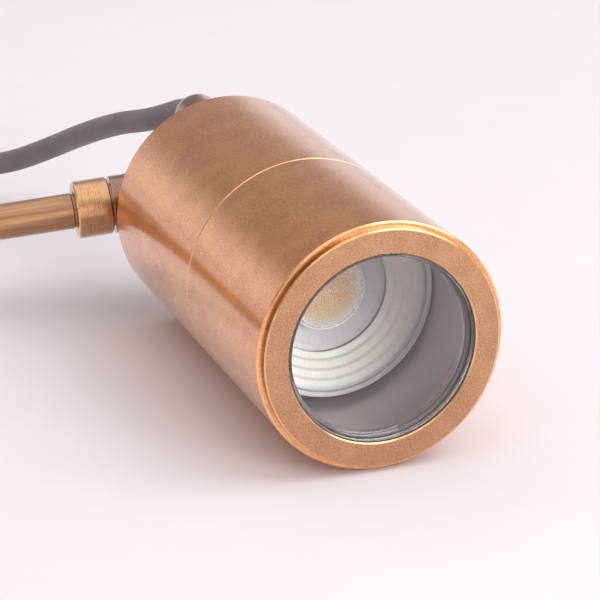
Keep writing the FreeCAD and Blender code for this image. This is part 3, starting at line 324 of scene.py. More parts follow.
def aged_brass(name, place=HEAD_PLACE, turn=HEAD_TURN, edge=0.25, turned=0.012, brushed=0.0, tint=(1, 1, 1)):
    """Waxed brown brass; turned is how deep the lathe's marks are, in millimetres."""
    finish = Finish(name, metallic=0.95, coat_weight=1.0, coat_roughness=0.13, coat_ior=2.0)
    vector = finish.local(place, turn)
    colour, fine, both = browned(finish, vector, tint)
    if brushed:
        lines = finish.noise(vector, 0.22, 2.0, stretch=(40, 1, 40))
        streak = finish.ramp(lines, (0.35, (0.34, 0.13, 0.045)), (0.65, (0.90, 0.50, 0.21)))
        colour = finish.blend(brushed, colour, streak)
    axis = turn @ Vector((0, 1, 0))
    # wear on edges, and a painted highlight on turned chamfers
    worn = finish.edges(edge, finish.spread(finish.noise(vector, 1.6), 0.5, 1.0), axis)
    polish = finish.math("MULTIPLY", worn, 0.06)
    finish.set(base_color=finish.blend(worn, colour, (*RUBBED, 1.0)),
               roughness=finish.math("SUBTRACT", finish.spread(both, 0.33, 0.25), polish))
    marks = finish.relief(finish.noise(vector, 0.30, 1.0, stretch=(60, 1, 60)), turned)
    finish.set(normal=finish.relief(fine, 0.012, marks))
    return finish


finishes = {"aged_brass": aged_brass("aged_brass").material}
print("aged brass:", len(finishes["aged_brass"].node_tree.nodes), "nodes")

# %% [markdown]
# The barrels are brown outside and dark grey inside, where the bore is painted to keep stray light down.
# One finish serves both: the distance from the head's axis tells the bore from the outside, and the paint
# stops short of the end wall's outer face.

# %% Barrel
def from_axis(finish, vector):
    """How far a point is from the Y axis of these coordinates, in millimetres."""
    flat = finish.add("VectorMath", {0: vector, 1: (1, 0, 1)}, operation="MULTIPLY").outputs["Vector"]
    return finish.add("VectorMath", {0: flat}, operation="LENGTH").outputs["Value"]


PAINT_RADIUS = 27.0
PAINT_END = (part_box("rear_housing")[1][1] - HEAD_PLACE[1]) / MILLIMETRE - 3.0
BRUSH_EDGE = 0.1   # how softly the paint ends, in millimetres
barrel = aged_brass("barrel_brass")
vector = barrel.local(HEAD_PLACE, HEAD_TURN)
depth = barrel.add("SeparateXYZ", {0: vector}).outputs["Y"]
within = barrel.spread(from_axis(barrel, vector), 1.0, 0.0, PAINT_RADIUS - BRUSH_EDGE, PAINT_RADIUS)
inside = barrel.math("MULTIPLY", within, barrel.spread(depth, 1.0, 0.0, PAINT_END - BRUSH_EDGE, PAINT_END))
paint = barrel.ramp(barrel.noise(vector, 0.5, 3.0), (0.3, (0.250, 0.205, 0.215)), (0.7, (0.320, 0.268, 0.280)))
outside = barrel.shader.inputs["Base Color"].links[0].from_socket
rough = barrel.shader.inputs["Roughness"].links[0].from_socket
barrel.set(base_color=barrel.blend(inside, outside, paint),
           metallic=barrel.spread(inside, 0.95, 0.0, 0, 1),
           roughness=barrel.add("Mix", {0: inside, 2: rough, 3: 0.36}).outputs[0])
finishes["barrel_brass"] = barrel.material
print("barrel: grey within", PAINT_RADIUS, "mm of the axis, as deep as", round(PAINT_END, 1), "mm")

# %% [markdown]
# The ring's face catches more light than the tube, and it is a paler, pinker brown. Its recess, behind the
# face, is painted dark as shade, near the black of the seal that sits in it, and its outer wall, in the groove,
# is darkened towards a dark brown as painted shade. The gland's nut has a deeper brown.

# %% Ring and gland
OPENING_RADII = (22.8, 22.9)   # where the ring's face ends at its opening, in millimetres
WALL_RADII = (28.3, 28.5)      # and at its outer wall
ring = aged_brass("ring_brass", tint=(0.55, 0.63, 1.10), edge=0.35)
vector = ring.local(HEAD_PLACE, HEAD_TURN)
behind = ring.add("SeparateXYZ", {0: vector}).outputs["Y"]
# painted shade: the recess behind the face gets a near black colour
recess = ring.math("MULTIPLY", ring.spread(from_axis(ring, vector), 1.0, 0.0, *OPENING_RADII),
                   ring.spread(behind, 0.0, 1.0, 0.25, 0.35))
# painted shade: the outer wall in the groove is darkened towards a dark brown
wall = ring.math("MULTIPLY", ring.spread(from_axis(ring, vector), 0.0, 1.0, *WALL_RADII),
                 ring.spread(behind, 0.0, 0.72, 0.30, 0.40))
outside = ring.shader.inputs["Base Color"].links[0].from_socket
grimy = ring.blend(wall, outside, (0.10, 0.030, 0.008, 1.0))
ring.set(base_color=ring.blend(recess, grimy, (0.075, 0.055, 0.048, 1.0)),
         metallic=ring.spread(recess, 0.95, 0.0, 0, 1))
finishes["ring_brass"] = ring.material
finishes["gland_brass"] = aged_brass("gland_brass", tint=(0.30, 0.30, 0.40)).material
print("ring and gland done")

# %% [markdown]
# The collar is brushed round its axis and the rod is drawn, which leaves streaks along it. Both streaks are
# noise that is stretched one way, in coordinates turned to the spike's own axes. The rod is more golden
# than the head and more uneven, because it is handled and pushed into the soil.

# %% Collar and rod
PIVOT = (0.1483, 0.0419, 0.0300)
SPIKE_TURN = HEAD_TURN @ Matrix.Rotation(math.radians(83.2), 3, "Z")
finishes["collar_brass"] = aged_brass("collar_brass", PIVOT, SPIKE_TURN, edge=0.4, turned=0.02, brushed=0.35,
                                      tint=(0.72, 0.86, 1.35)).material
# painted shade: the knuckle's brass is a much darker copy of aged brass, for the shade it sits in
finishes["knuckle_brass"] = aged_brass("knuckle_brass", PIVOT, SPIKE_TURN, turned=0.02,
                                       tint=(0.26, 0.27, 0.50)).material

rod = Finish("spike_brass", metallic=0.9, coat_weight=0.7, coat_roughness=0.16, coat_ior=1.7)
vector = rod.local(PIVOT, SPIKE_TURN)
long_streak = rod.noise(vector, 0.55, 3.0, stretch=(1, 45, 1))
mottle = rod.noise(vector, 2.2, 4.0, stretch=(1, 6, 1), roughness=0.6)
both = rod.math("MULTIPLY_ADD", long_streak, 0.5, rod.math("MULTIPLY", mottle, 0.5))
colour = rod.ramp(both, (0.34, (0.32, 0.148, 0.063)), (0.50, (0.43, 0.212, 0.092)),
                  (0.66, (0.55, 0.300, 0.140)))
worn = rod.edges(0.4, rod.spread(mottle, 0.4, 1.0))
rod.set(base_color=rod.blend(worn, colour, (*RUBBED, 1.0)), roughness=rod.spread(both, 0.42, 0.26),
        normal=rod.relief(long_streak, 0.02))
finishes["spike_brass"] = rod.material
print("rod and collar done")

# %% [markdown]
# ## Metals inside
# The clamp's screw, nut and washers are turned stainless steel. The bracket, its screws and the earth tag
# are zinc plated, which is duller, with a faint crystalline bloom. Contacts and terminal inserts are bright
# machined brass, and the lamp's pins are nickel plated.

# %% Steel, zinc, brass and nickel
ORIGIN = (0.0, 0.0, 0.0)


def plain_metal(name, low, high, roughness, grain=0.25, stretch=(1, 1, 1), depth=0.006, edge=0.25):
    """A bare metal with a fine grain, brighter along its edges."""
    finish = Finish(name, metallic=1.0)
    vector = finish.local(ORIGIN)
    fine = finish.noise(vector, grain, 3.0, stretch=stretch)
    broad = finish.noise(vector, 3.0, 2.0)
    both = finish.math("MULTIPLY_ADD", fine, 0.5, finish.math("MULTIPLY", broad, 0.5))
    worn = finish.edges(edge)
    bright = tuple(min(1.0, 1.25 * c) for c in high)
    finish.set(base_color=finish.blend(worn, finish.ramp(both, (0.38, low), (0.62, high)), (*bright, 1.0)),
               roughness=finish.spread(both, roughness + 0.08, roughness - 0.06),
               normal=finish.relief(fine, depth))
    return finish.material


finishes["stainless"] = plain_metal("stainless", (0.46, 0.45, 0.43), (0.60, 0.59, 0.57), 0.28, 0.12, (8, 1, 8))
finishes["zinc_steel"] = plain_metal("zinc_steel", (0.44, 0.45, 0.46), (0.62, 0.62, 0.60), 0.40, 0.8)
finishes["terminal_brass"] = plain_metal("terminal_brass", (0.66, 0.45, 0.19), (0.80, 0.58, 0.27), 0.27)
finishes["pin_nickel"] = plain_metal("pin_nickel", (0.68, 0.66, 0.61), (0.78, 0.76, 0.71), 0.18, 0.12)
finishes["copper_strand"] = plain_metal("copper_strand", (0.62, 0.27, 0.13), (0.80, 0.40, 0.22), 0.30, 0.2)
finishes["board_metal"] = plain_metal("board_metal", (0.66, 0.66, 0.65), (0.78, 0.78, 0.77), 0.42, 0.15)
print("metals:", sorted(finishes))

# %% [markdown]
# ## Rubber, plastics and ceramic
# The seals are black silicone, and the glass's bed is a greyer one. The flex's rubber is a dark grey that
# handling and dust leave slightly mauve and cloudy. Mouldings are smooth with the faintest ripple, the cores'
# insulation has a soft shine, and the holder's ceramic is unglazed, with fine pits.

# %% Rubber, plastics and ceramic
def moulded(name, low, high, roughness, grain=0.4, depth=0.01, size=4.0, **constants):
    """A moulded or extruded surface: cloudy colour, fine grain, a little relief."""
    finish = Finish(name, **constants)
    vector = finish.local(ORIGIN)
    fine = finish.noise(vector, grain, 4.0, roughness=0.6)
    broad = finish.noise(vector, size, 2.0)
    both = finish.math("MULTIPLY_ADD", fine, 0.4, finish.math("MULTIPLY", broad, 0.6))
    finish.set(base_color=finish.ramp(both, (0.36, low), (0.62, high)),
               roughness=finish.spread(both, roughness + 0.07, roughness - 0.05),
               normal=finish.relief(fine, depth))
    return finish.material


finishes["seal_rubber"] = moulded("seal_rubber", (0.018, 0.018, 0.019), (0.040, 0.039, 0.040), 0.55)
finishes["bed_rubber"] = moulded("bed_rubber", (0.075, 0.063, 0.060), (0.105, 0.090, 0.086), 0.60)
finishes["flex_jacket"] = moulded("flex_jacket", (0.172, 0.146, 0.158), (0.208, 0.178, 0.191), 0.46, 0.30,
                                  0.02, 7.0, specular_ior_level=0.45)
finishes["lamp_plastic"] = moulded("lamp_plastic", (0.72, 0.71, 0.69), (0.80, 0.79, 0.77), 0.38, 0.8, 0.006)
finishes["block_plastic"] = moulded("block_plastic", (0.62, 0.61, 0.56), (0.72, 0.71, 0.66), 0.45, 0.8, 0.006,
                                    subsurface_weight=0.2, subsurface_scale=0.002)
finishes["brown_core"] = moulded("brown_core", (0.105, 0.038, 0.014), (0.160, 0.062, 0.024), 0.38)
finishes["blue_core"] = moulded("blue_core", (0.020, 0.085, 0.330), (0.035, 0.130, 0.440), 0.38)
finishes["ceramic"] = moulded("ceramic", (0.66, 0.64, 0.58), (0.78, 0.76, 0.71), 0.62, 0.18, 0.03)
finishes["board_green"] = moulded("board_green", (0.028, 0.120, 0.050), (0.055, 0.190, 0.085), 0.35, 0.6,
                                  0.02, 2.0)
print("moulded finishes:", len(finishes))

# %% [markdown]
# Earth insulation is green with a yellow stripe that winds along it. The stripe is a slow wave across the
# piece's own coordinates, so it needs no map.

# %% Earth core
earth = Finish("earth_core", roughness=0.38)
vector = earth.local(ORIGIN)
slant = earth.add("VectorMath", {0: vector, 1: (0.55, 0.8, 1.3)}, operation="DOT_PRODUCT").outputs["Value"]
stripe = earth.spread(earth.math("SINE", earth.math("MULTIPLY", slant, 1.4)), 0.0, 1.0, 0.35, 0.45)
green = earth.ramp(earth.noise(vector, 1.5), (0.3, (0.050, 0.210, 0.030)), (0.7, (0.080, 0.290, 0.045)))
earth.set(base_color=earth.blend(stripe, green, (0.78, 0.62, 0.05, 1.0)),
          normal=earth.relief(earth.noise(vector, 0.3), 0.01))
finishes["earth_core"] = earth.material
print("earth core striped")

# %% [markdown]
# ## Glass and lamp optics
# The front is clear flat glass, and the lamp's middle lens is clear plastic. Real glass bends what is
# behind it, so both use transmission. A lamp's light wouldn't pass through that shader, which would leave
# the inside too dark, so rays that ask for light see a transparent surface instead. The lens's moulded
# plastic is slightly milky, and the wall of its cup has fine flutes, which are waves on the angle.

# %% Glass
def clear(name, tint, ior, clearness=1.0):
    """Clear glass or plastic that lets lamps through. Below 1, clearness leaves a milky share."""
    finish = Finish(name, base_color=(*tint, 1.0), roughness=0.0, ior=ior, transmission_weight=clearness)
    way = finish.add("LightPath").outputs["Is Shadow Ray"]
    see = finish.add("BsdfTransparent", {"Color": (*tint, 1.0)})
    mixed = finish.add("MixShader", {0: way, 1: finish.shader.outputs[0], 2: see.outputs[0]})
    output = finish.tree.nodes["Material Output"]
    finish.tree.links.new(mixed.outputs[0], output.inputs["Surface"])
    return finish


LAMP_OFFSET = Vector((0.001, 0.034, 0.0005))   # the lamp's front, from the middle of the ring's face
LAMP_PLACE = tuple(Vector(HEAD_PLACE) + HEAD_TURN @ LAMP_OFFSET)
glass = clear("clear_glass", (0.985, 0.992, 0.988), 1.5)
smear = glass.noise(glass.local(HEAD_PLACE, HEAD_TURN), 9.0, 2.0)
glass.set(roughness=glass.spread(smear, 0.0, 0.02))
finishes["clear_glass"] = glass.material

FLUTES = 72
CUP_RADII = (10.2, 10.6)       # where the lens's face turns into the wall of its cup, in millimetres
lens = clear("lens_plastic", (0.965, 0.95, 0.96), 1.49, clearness=0.5)
vector = lens.local(LAMP_PLACE, HEAD_TURN)
parts = lens.add("SeparateXYZ", {0: vector})
angle = lens.math("ARCTAN2", parts.outputs["Z"], parts.outputs["X"])
flutes = lens.math("COSINE", lens.math("MULTIPLY", angle, FLUTES))
cup = lens.spread(from_axis(lens, vector), 0.0, 1.0, *CUP_RADII)
lens.set(normal=lens.relief(lens.math("MULTIPLY", flutes, cup), 0.035),
         roughness=lens.spread(lens.noise(vector, 0.4), 0.02, 0.10))
finishes["lens_plastic"] = lens.material
print("glass and lens done")

# %% [markdown]
# The frosted ring round the lens is milky plastic, and subsurface light makes it glow softly. Its steps and
# ribs are real shape, so the finish only adds a fine frost. The lens's honeycomb looks white, with a warm dot
# painted in each cell for the phosphor below as it would be seen through the cell; the dots are strongest near
# the middle. The phosphor itself is a matt yellow-orange.

# %% Frosted ring, honeycomb and phosphor
RING_MARK_MM = 0.45            # from one turned mark on the frosted ring to the next
WARM_RADII = (6.0, 9.4)        # where the warm dots begin to fade and where they end, in millimetres
frosted = Finish("frosted_plastic", roughness=0.34, subsurface_weight=0.35, subsurface_scale=0.003, ior=1.49)
vector = frosted.local(LAMP_PLACE, HEAD_TURN)
rings = frosted.math("COSINE", frosted.math("MULTIPLY", from_axis(frosted, vector), 2 * math.pi / RING_MARK_MM))
frost = frosted.noise(vector, 0.12, 2.0)
frosted.set(base_color=frosted.ramp(frosted.noise(vector, 2.5), (0.3, (0.87, 0.785, 0.735)),
                                    (0.7, (0.92, 0.835, 0.785))),
            normal=frosted.relief(rings, 0.008, frosted.relief(frost, 0.006)))
finishes["frosted_plastic"] = frosted.material

comb = Finish("honeycomb", roughness=0.20, subsurface_weight=0.2, subsurface_scale=0.001, ior=1.49)
vector = comb.local(LAMP_PLACE, HEAD_TURN)
dot = comb.spread(comb.add("Attribute", attribute_name="from_middle").outputs["Fac"], 1.0, 0.0, 0.55, 1.25)
# painted refraction: the phosphor below, seen through each cell, is coloured onto the comb as a warm dot
warm = comb.math("MULTIPLY", dot, comb.spread(from_axis(comb, vector), 1.0, 0.15, *WARM_RADII))
clouds = comb.spread(comb.noise(vector, 2.6, 2.0), 0.75, 1.0)
comb.set(base_color=comb.blend(comb.math("MULTIPLY", warm, clouds), (0.95, 0.91, 0.895, 1.0),
                               (1.0, 0.48, 0.07, 1.0)),
         normal=comb.relief(comb.noise(vector, 0.2), 0.004))
finishes["honeycomb"] = comb.material

finishes["phosphor"] = moulded("phosphor", (0.80, 0.42, 0.05), (0.90, 0.55, 0.09), 0.6, 0.5, 0.02, 1.5)
print("finishes:", len(finishes))

# %% [markdown]
# ## Giving each piece its finish
# The record names a finish for each piece. One of them, aged brass, is shared by pieces that look different
# in the photograph, so the barrels, the ring, the gland's nut, the collar and the knuckle have their own.
# The glass's bed has its own too.

# %% Assign
special = {"front_barrel": "barrel_brass", "rear_housing": "barrel_brass", "lock_collar": "collar_brass",
           "knuckle_fork": "knuckle_brass", "front_ring": "ring_brass", "gland_nut": "gland_brass",
           "glass_seal": "bed_rubber"}
slot_of = {entry["node"]: entry["material_slot"] for entry in frame["record"]["subparts"]}
for label, thing in nodes.items():
    material = finishes[special.get(label, slot_of[label])]
    if not thing.material_slots:
        print("no slot on", label)
    for slot in thing.material_slots:
        slot.material = material
print("pieces with a finish:", len(nodes))

# %% [markdown]
# ## Pieces that follow a rule
# Three parts of this light repeat one small shape by a rule: the frosted ring's steps and ribs, the
# honeycomb of lenslets on the lens, and the copper strands at the flex's bare end. Each could be modelled by
# hand or in mesh code, but a geometry node tree states the rule once, with its sizes as named inputs, and
# they stay easy to change. The helper below writes such a tree, runs it once and keeps a plain mesh.

# %% Node tree helper
class Tree(Writer):
    """A geometry node tree being written. Sizes are its named inputs, in metres or counts."""

    def __init__(self, name, **sizes):
        self.name = name
        self.tree = bpy.data.node_groups.new(name, "GeometryNodeTree")
        face = self.tree.interface
        face.new_socket("Geometry", in_out="INPUT", socket_type="NodeSocketGeometry")
        face.new_socket("Geometry", in_out="OUTPUT", socket_type="NodeSocketGeometry")
        self.chosen = {}
        for label, value in sizes.items():
            kind = "NodeSocketInt" if isinstance(value, int) else "NodeSocketFloat"
            socket = face.new_socket(label.replace("_", " "), in_out="INPUT", socket_type=kind)
            self.chosen[socket.identifier] = value
        entry = self.add("NodeGroupInput")
        self.entry = {socket.name.replace(" ", "_"): socket for socket in entry.outputs}

    def position(self):
        spot = self.add("GeometryNodeInputPosition").outputs[0]
        return self.add("ShaderNodeSeparateXYZ", {0: spot}).outputs

    def vector(self, x=0.0, y=0.0, z=0.0):
        return self.add("ShaderNodeCombineXYZ", {0: x, 1: y, 2: z}).outputs[0]

    def placed(self, geometry, place, turn):
        """Moves a geometry from an assembly's own axes to its place on the object."""
        made = self.add("GeometryNodeTransform", {"Geometry": geometry, "Translation": place,
                                                  "Rotation": turn.to_euler()})
        return made.outputs[0]

    def close(self, geometry, material):
        real = self.add("GeometryNodeRealizeInstances", {0: geometry}).outputs[0]
        smooth = self.add("GeometryNodeSetShadeSmooth", {"Geometry": real}).outputs[0]
        given = self.add("GeometryNodeSetMaterial", {"Geometry": smooth, "Material": material}).outputs[0]
        self.add("NodeGroupOutput", {0: given})

    def grow(self, body, base=None):
        """Runs the tree on a mesh and leaves its result as a plain one that rides on a body."""
        thing = bpy.data.objects.new(self.name, base or bpy.data.meshes.new(self.name))
        scene.collection.objects.link(thing)
        modifier = thing.modifiers.new(self.name, "NODES")
        modifier.node_group = self.tree
        for identifier, value in self.chosen.items():
            modifier[identifier] = value
        graph = bpy.context.evaluated_depsgraph_get()
        plain = bpy.data.meshes.new_from_object(thing.evaluated_get(graph), preserve_all_data_layers=True,
                                                depsgraph=graph)
        thing.modifiers.clear()
        thing.data = plain
        plain.name = self.name
        outward(plain)
        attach(thing, body)
        print(self.name, len(plain.polygons), "faces")
        return thing


def outward(mesh):
    """Turns a closed mesh's faces outwards, by the sign of its volume."""
    shape = bmesh.new()
    shape.from_mesh(mesh)
    if shape.calc_volume(signed=True) < 0:
        bmesh.ops.reverse_faces(shape, faces=shape.faces)
    shape.to_mesh(mesh)
    mesh.update()
    open_edges = sum(1 for edge in shape.edges if not edge.is_manifold)
    print(mesh.name, "open edges:", open_edges, "volume", round(shape.calc_volume(signed=True) * 1e9, 1), "mm3")
    shape.free()


print("tree helper ready")

# %% [markdown]
# The frosted ring is a funnel round the lens, in four zones. Each zone starts with a small step and then
# slopes gently, and fine ribs run outwards over them all. It is a grid wrapped twice: once round the lamp's
# axis, and once round the ring's own section, front first, then back, and then the first row again. The two
# seams are merged.

# %% Frosted ring
ring_tree = Tree("frosted_ring", outer=0.0234, inner=0.0158, recess=0.0005, depth=0.0064, thickness=0.0012,
                 zones=4.0, ribs=96.0, rib_depth=0.000035, around=576, across=56)
at = ring_tree.entry
grid = ring_tree.add("GeometryNodeMeshGrid", {"Size X": 1.0, "Size Y": 1.0, "Vertices X": at["around"],
                                              "Vertices Y": at["across"]})
x, y, z = ring_tree.position()
angle = ring_tree.math("MULTIPLY_ADD", x, 2 * math.pi, math.pi)
section = ring_tree.math("ADD", y, 0.5)
LAST_ROW = 0.9999           # the last row of the section goes back onto the first
section = ring_tree.math("MULTIPLY", section, ring_tree.math("LESS_THAN", section, LAST_ROW))
FRONT_SHARE = 0.8           # of the section's rows, on the ring's front
front = ring_tree.math("DIVIDE", section, FRONT_SHARE, clamp=True)
back = ring_tree.math("DIVIDE", ring_tree.math("SUBTRACT", section, FRONT_SHARE), 1 - FRONT_SHARE, clamp=True)
zone = ring_tree.math("MULTIPLY", front, at["zones"])
past = ring_tree.math("FRACT", zone)
STEP_SHARE = 0.55           # of a zone's fall, in the step at its start
STEP_WIDTH = 0.125          # of a zone
rise = ring_tree.math("MULTIPLY", past, 1 / STEP_WIDTH, clamp=True)
fall = ring_tree.math("ADD", ring_tree.math("MULTIPLY", rise, STEP_SHARE),
                      ring_tree.math("MULTIPLY", past, 1 - STEP_SHARE))
stepped = ring_tree.math("DIVIDE", ring_tree.math("ADD", ring_tree.math("FLOOR", zone), fall), at["zones"],
                         clamp=True)
inward = ring_tree.math("SUBTRACT", front, back)
width = ring_tree.math("SUBTRACT", at["outer"], at["inner"])
radius = ring_tree.math("SUBTRACT", at["outer"], ring_tree.math("MULTIPLY", inward, width))
on_back = ring_tree.math("GREATER_THAN", section, FRONT_SHARE)
steps = ring_tree.add("ShaderNodeMix", {0: on_back, 2: stepped, 3: inward}).outputs[0]
deep = ring_tree.math("MULTIPLY_ADD", steps, at["depth"], at["recess"])
deep = ring_tree.math("MULTIPLY_ADD", on_back, at["thickness"], deep)
wave = ring_tree.math("MULTIPLY", ring_tree.math("COSINE", ring_tree.math("MULTIPLY", angle, at["ribs"])),
                      at["rib_depth"])
ribbed = ring_tree.math("MULTIPLY", wave, ring_tree.math("SUBTRACT", 1.0, on_back))
deep = ring_tree.math("ADD", deep, ribbed)
spot = ring_tree.vector(ring_tree.math("MULTIPLY", radius, ring_tree.math("COSINE", angle)), deep,
                        ring_tree.math("MULTIPLY", radius, ring_tree.math("SINE", angle)))
wrapped = ring_tree.add("GeometryNodeSetPosition", {"Geometry": grid.outputs["Mesh"],
                                                    "Position": spot}).outputs[0]
merged = ring_tree.add("GeometryNodeMergeByDistance", {"Geometry": wrapped, "Distance": 0.00001}).outputs[0]
ring_tree.close(ring_tree.placed(merged, LAMP_PLACE, HEAD_TURN), finishes["frosted_plastic"])
frosted_ring = ring_tree.grow("lamp")
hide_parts("lamp_optic")

# %% [markdown]
# The lens's middle is a honeycomb of tiny raised cells that spread the light. The tree lays points in rows,
# moves every second row by half a cell, drops those outside the disc and puts one six-sided cell on each.
# Each cell keeps how far its corners are from its middle, which its finish reads. A thin rim closes the disc.

# %% Honeycomb
CELL_TOP = 0.45             # a cell's flat top, as a share of its foot
RIM_PLACE = 3.4             # the rim's distance outside the disc, in its own radii
FACE_OF_LENS = 0.0066       # behind the lamp's front, in metres
comb_tree = Tree("lens_honeycomb", pitch=0.0007, disc=0.0094, cell_height=0.00016, rim=0.00012, rows=33)
at = comb_tree.entry
row_step = comb_tree.math("MULTIPLY", at["pitch"], math.sqrt(0.75))
rows = comb_tree.add("GeometryNodeMeshGrid", {
    "Size X": comb_tree.math("MULTIPLY", at["pitch"], comb_tree.math("SUBTRACT", at["rows"], 1.0)),
    "Size Y": comb_tree.math("MULTIPLY", row_step, comb_tree.math("SUBTRACT", at["rows"], 1.0)),
    "Vertices X": at["rows"], "Vertices Y": at["rows"]})
x, y, z = comb_tree.position()
row = comb_tree.math("ROUND", comb_tree.math("DIVIDE", y, row_step))
shift = comb_tree.math("MULTIPLY", comb_tree.math("MULTIPLY", comb_tree.math("PINGPONG", row, 1.0), 0.5),
                       at["pitch"])
moved = comb_tree.add("GeometryNodeSetPosition", {"Geometry": rows.outputs["Mesh"],
                                                  "Offset": comb_tree.vector(shift)}).outputs[0]
spot = comb_tree.add("GeometryNodeInputPosition").outputs[0]
reach = comb_tree.add("ShaderNodeVectorMath", {0: spot}, operation="LENGTH").outputs["Value"]
outside = comb_tree.math("GREATER_THAN", reach, at["disc"])
kept = comb_tree.add("GeometryNodeDeleteGeometry", {"Geometry": moved, "Selection": outside}).outputs[0]
corner = comb_tree.math("DIVIDE", at["pitch"], math.sqrt(3))
cell = comb_tree.add("GeometryNodeMeshCone", {"Vertices": 6, "Side Segments": 2, "Radius Bottom": corner,
                                              "Radius Top": comb_tree.math("MULTIPLY", corner, CELL_TOP),
                                              "Depth": at["cell_height"]})
from_middle = comb_tree.math("DIVIDE", comb_tree.add("ShaderNodeVectorMath", {
    0: comb_tree.add("GeometryNodeInputPosition").outputs[0]}, operation="LENGTH").outputs["Value"], corner)
named = comb_tree.add("GeometryNodeStoreNamedAttribute", {
    "Geometry": cell.outputs["Mesh"], "Name": "from_middle", "Value": from_middle},
    data_type="FLOAT", domain="POINT")
cells = comb_tree.add("GeometryNodeInstanceOnPoints", {"Points": kept, "Instance": named.outputs[0],
                                                       "Rotation": (0, 0, math.radians(30))}).outputs[0]
circle = comb_tree.add("GeometryNodeCurvePrimitiveCircle", {
    "Resolution": 144,
    "Radius": comb_tree.math("ADD", at["disc"], comb_tree.math("MULTIPLY", at["rim"], RIM_PLACE))})
bead = comb_tree.add("GeometryNodeCurvePrimitiveCircle", {"Resolution": 10, "Radius": at["rim"]})
rim = comb_tree.add("GeometryNodeCurveToMesh", {"Curve": circle.outputs[0],
                                                "Profile Curve": bead.outputs[0]}).outputs[0]
marked = comb_tree.add("GeometryNodeStoreNamedAttribute", {
    "Geometry": rim, "Name": "from_middle", "Value": 1.0}, data_type="FLOAT", domain="POINT").outputs[0]
both = comb_tree.add("GeometryNodeJoinGeometry")
comb_tree.tree.links.new(cells, both.inputs[0])
comb_tree.tree.links.new(marked, both.inputs[0])
facing = comb_tree.placed(both.outputs[0], (0.0, FACE_OF_LENS - 0.0001, 0.0),
                          Matrix.Rotation(math.radians(90), 3, "X"))
comb_tree.close(comb_tree.placed(facing, LAMP_PLACE, HEAD_TURN), finishes["honeycomb"])
honeycomb = comb_tree.grow("lamp")

# %% [markdown]
# The flex's jacket is stripped back, and its three cores spread out on the surface. Each is a smooth tube in
# its insulation, on the exact model's route, and keeps its colour: brown for live, blue for neutral, and
# green and yellow for earth.

# %% Bare cores
CORE_DIAMETER = 0.0019
CORE_OFFSETS = {   # ahead of the jacket's end, aside and up, in metres
    "live_end": [(0, 0.0012, 0.0004), (0.008, 0.0016, 0.0004), (0.017, 0.0050, 0.0002), (0.025, 0.0090, 0)],
    "neutral_end": [(0, -0.0012, 0.0004), (0.008, -0.0017, 0.0004), (0.016, -0.0055, 0.0002),
                    (0.023, -0.0100, 0)],
    "earth_end": [(0, 0, -0.0014), (0.009, 0.0003, -0.0015), (0.019, -0.0006, -0.0017),
                  (0.029, 0.0008, -0.0018)],
}
CORE_STANDS_FOR = {   # the exact model's piece, and the finish
    "live_end": ("tail_live_core", "brown_core"),
    "neutral_end": ("tail_neutral_core", "blue_core"),
    "earth_end": ("tail_earth_core", "earth_core"),
}
jacket_end = Vector(TAIL_POINTS[-1])
ahead = (jacket_end - Vector(TAIL_POINTS[-2])).normalized()
aside = Vector((0, 0, 1)).cross(ahead)
core_ends = []
for name, offsets in CORE_OFFSETS.items():
    line = [jacket_end + ahead * a + aside * b + Vector((0, 0, c)) for a, b, c in offsets]
    core = smooth_curve(name, line, CORE_DIAMETER)
    node, finish = CORE_STANDS_FOR[name]
    core.data.materials.append(finishes[finish])
    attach(core, "head")
    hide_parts(node)
    core_ends.append((line[-1], (line[-1] - line[-2]).normalized()))

# %% [markdown]
# The last few millimetres of each core are bare copper strands, twisted together, that fray a little at their
# tips. They could be modelled one by one, but one tree makes the strands of all three ends: it copies a
# straight line for each strand, and winds the copies round it in two layers.

# %% Copper strands
STRAND_REACH = 0.0070
STRAND_STEPS = 24
STRAND_TUCK = 0.0005        # into the insulation
EVERY_THIRD = 0.3334        # picks the strands of the inner layer
INNER_SHARE = 0.55          # how much nearer the middle the inner layer is
strand_tree = Tree("copper_strands", strands=14, lay=0.00040, strand_radius=0.00010, turns=1.1, fray=0.00022)
at = strand_tree.entry
line = strand_tree.add("GeometryNodeMeshToCurve", {0: at["Geometry"]}).outputs[0]
many = strand_tree.add("GeometryNodeDuplicateElements", {"Geometry": line, "Amount": at["strands"]},
                       domain="SPLINE")
share = strand_tree.add("GeometryNodeSplineParameter").outputs["Factor"]
index = many.outputs["Duplicate Index"]
pick = strand_tree.math("DIVIDE", index, at["strands"])
third = strand_tree.math("FRACT", strand_tree.math("MULTIPLY", index, EVERY_THIRD))
inner = strand_tree.math("GREATER_THAN", third, 0.6)
out = strand_tree.math("MULTIPLY", at["lay"], strand_tree.math("MULTIPLY_ADD", inner, -INNER_SHARE, 1.0))
scatter = strand_tree.add("FunctionNodeRandomValue", {2: 0.0, 3: 1.0, "ID": index, "Seed": 7},
                          data_type="FLOAT")
loose = strand_tree.math("MULTIPLY", strand_tree.math("POWER", share, 3.0), scatter.outputs[1])
out = strand_tree.math("MULTIPLY_ADD", loose, at["fray"], out)
wind = strand_tree.math("MULTIPLY", strand_tree.math("MULTIPLY_ADD", share, at["turns"], pick), 2 * math.pi)
along = strand_tree.add("GeometryNodeInputTangent").outputs[0]
up = (0.0, 0.0, 1.0)
side = strand_tree.add("ShaderNodeVectorMath", {0: along, 1: up}, operation="CROSS_PRODUCT").outputs[0]
side = strand_tree.add("ShaderNodeVectorMath", {0: side}, operation="NORMALIZE").outputs[0]
over = strand_tree.add("ShaderNodeVectorMath", {0: side, 1: along}, operation="CROSS_PRODUCT").outputs[0]
one = strand_tree.add("ShaderNodeVectorMath", {0: side, "Scale": strand_tree.math(
    "MULTIPLY", out, strand_tree.math("COSINE", wind))}, operation="SCALE").outputs[0]
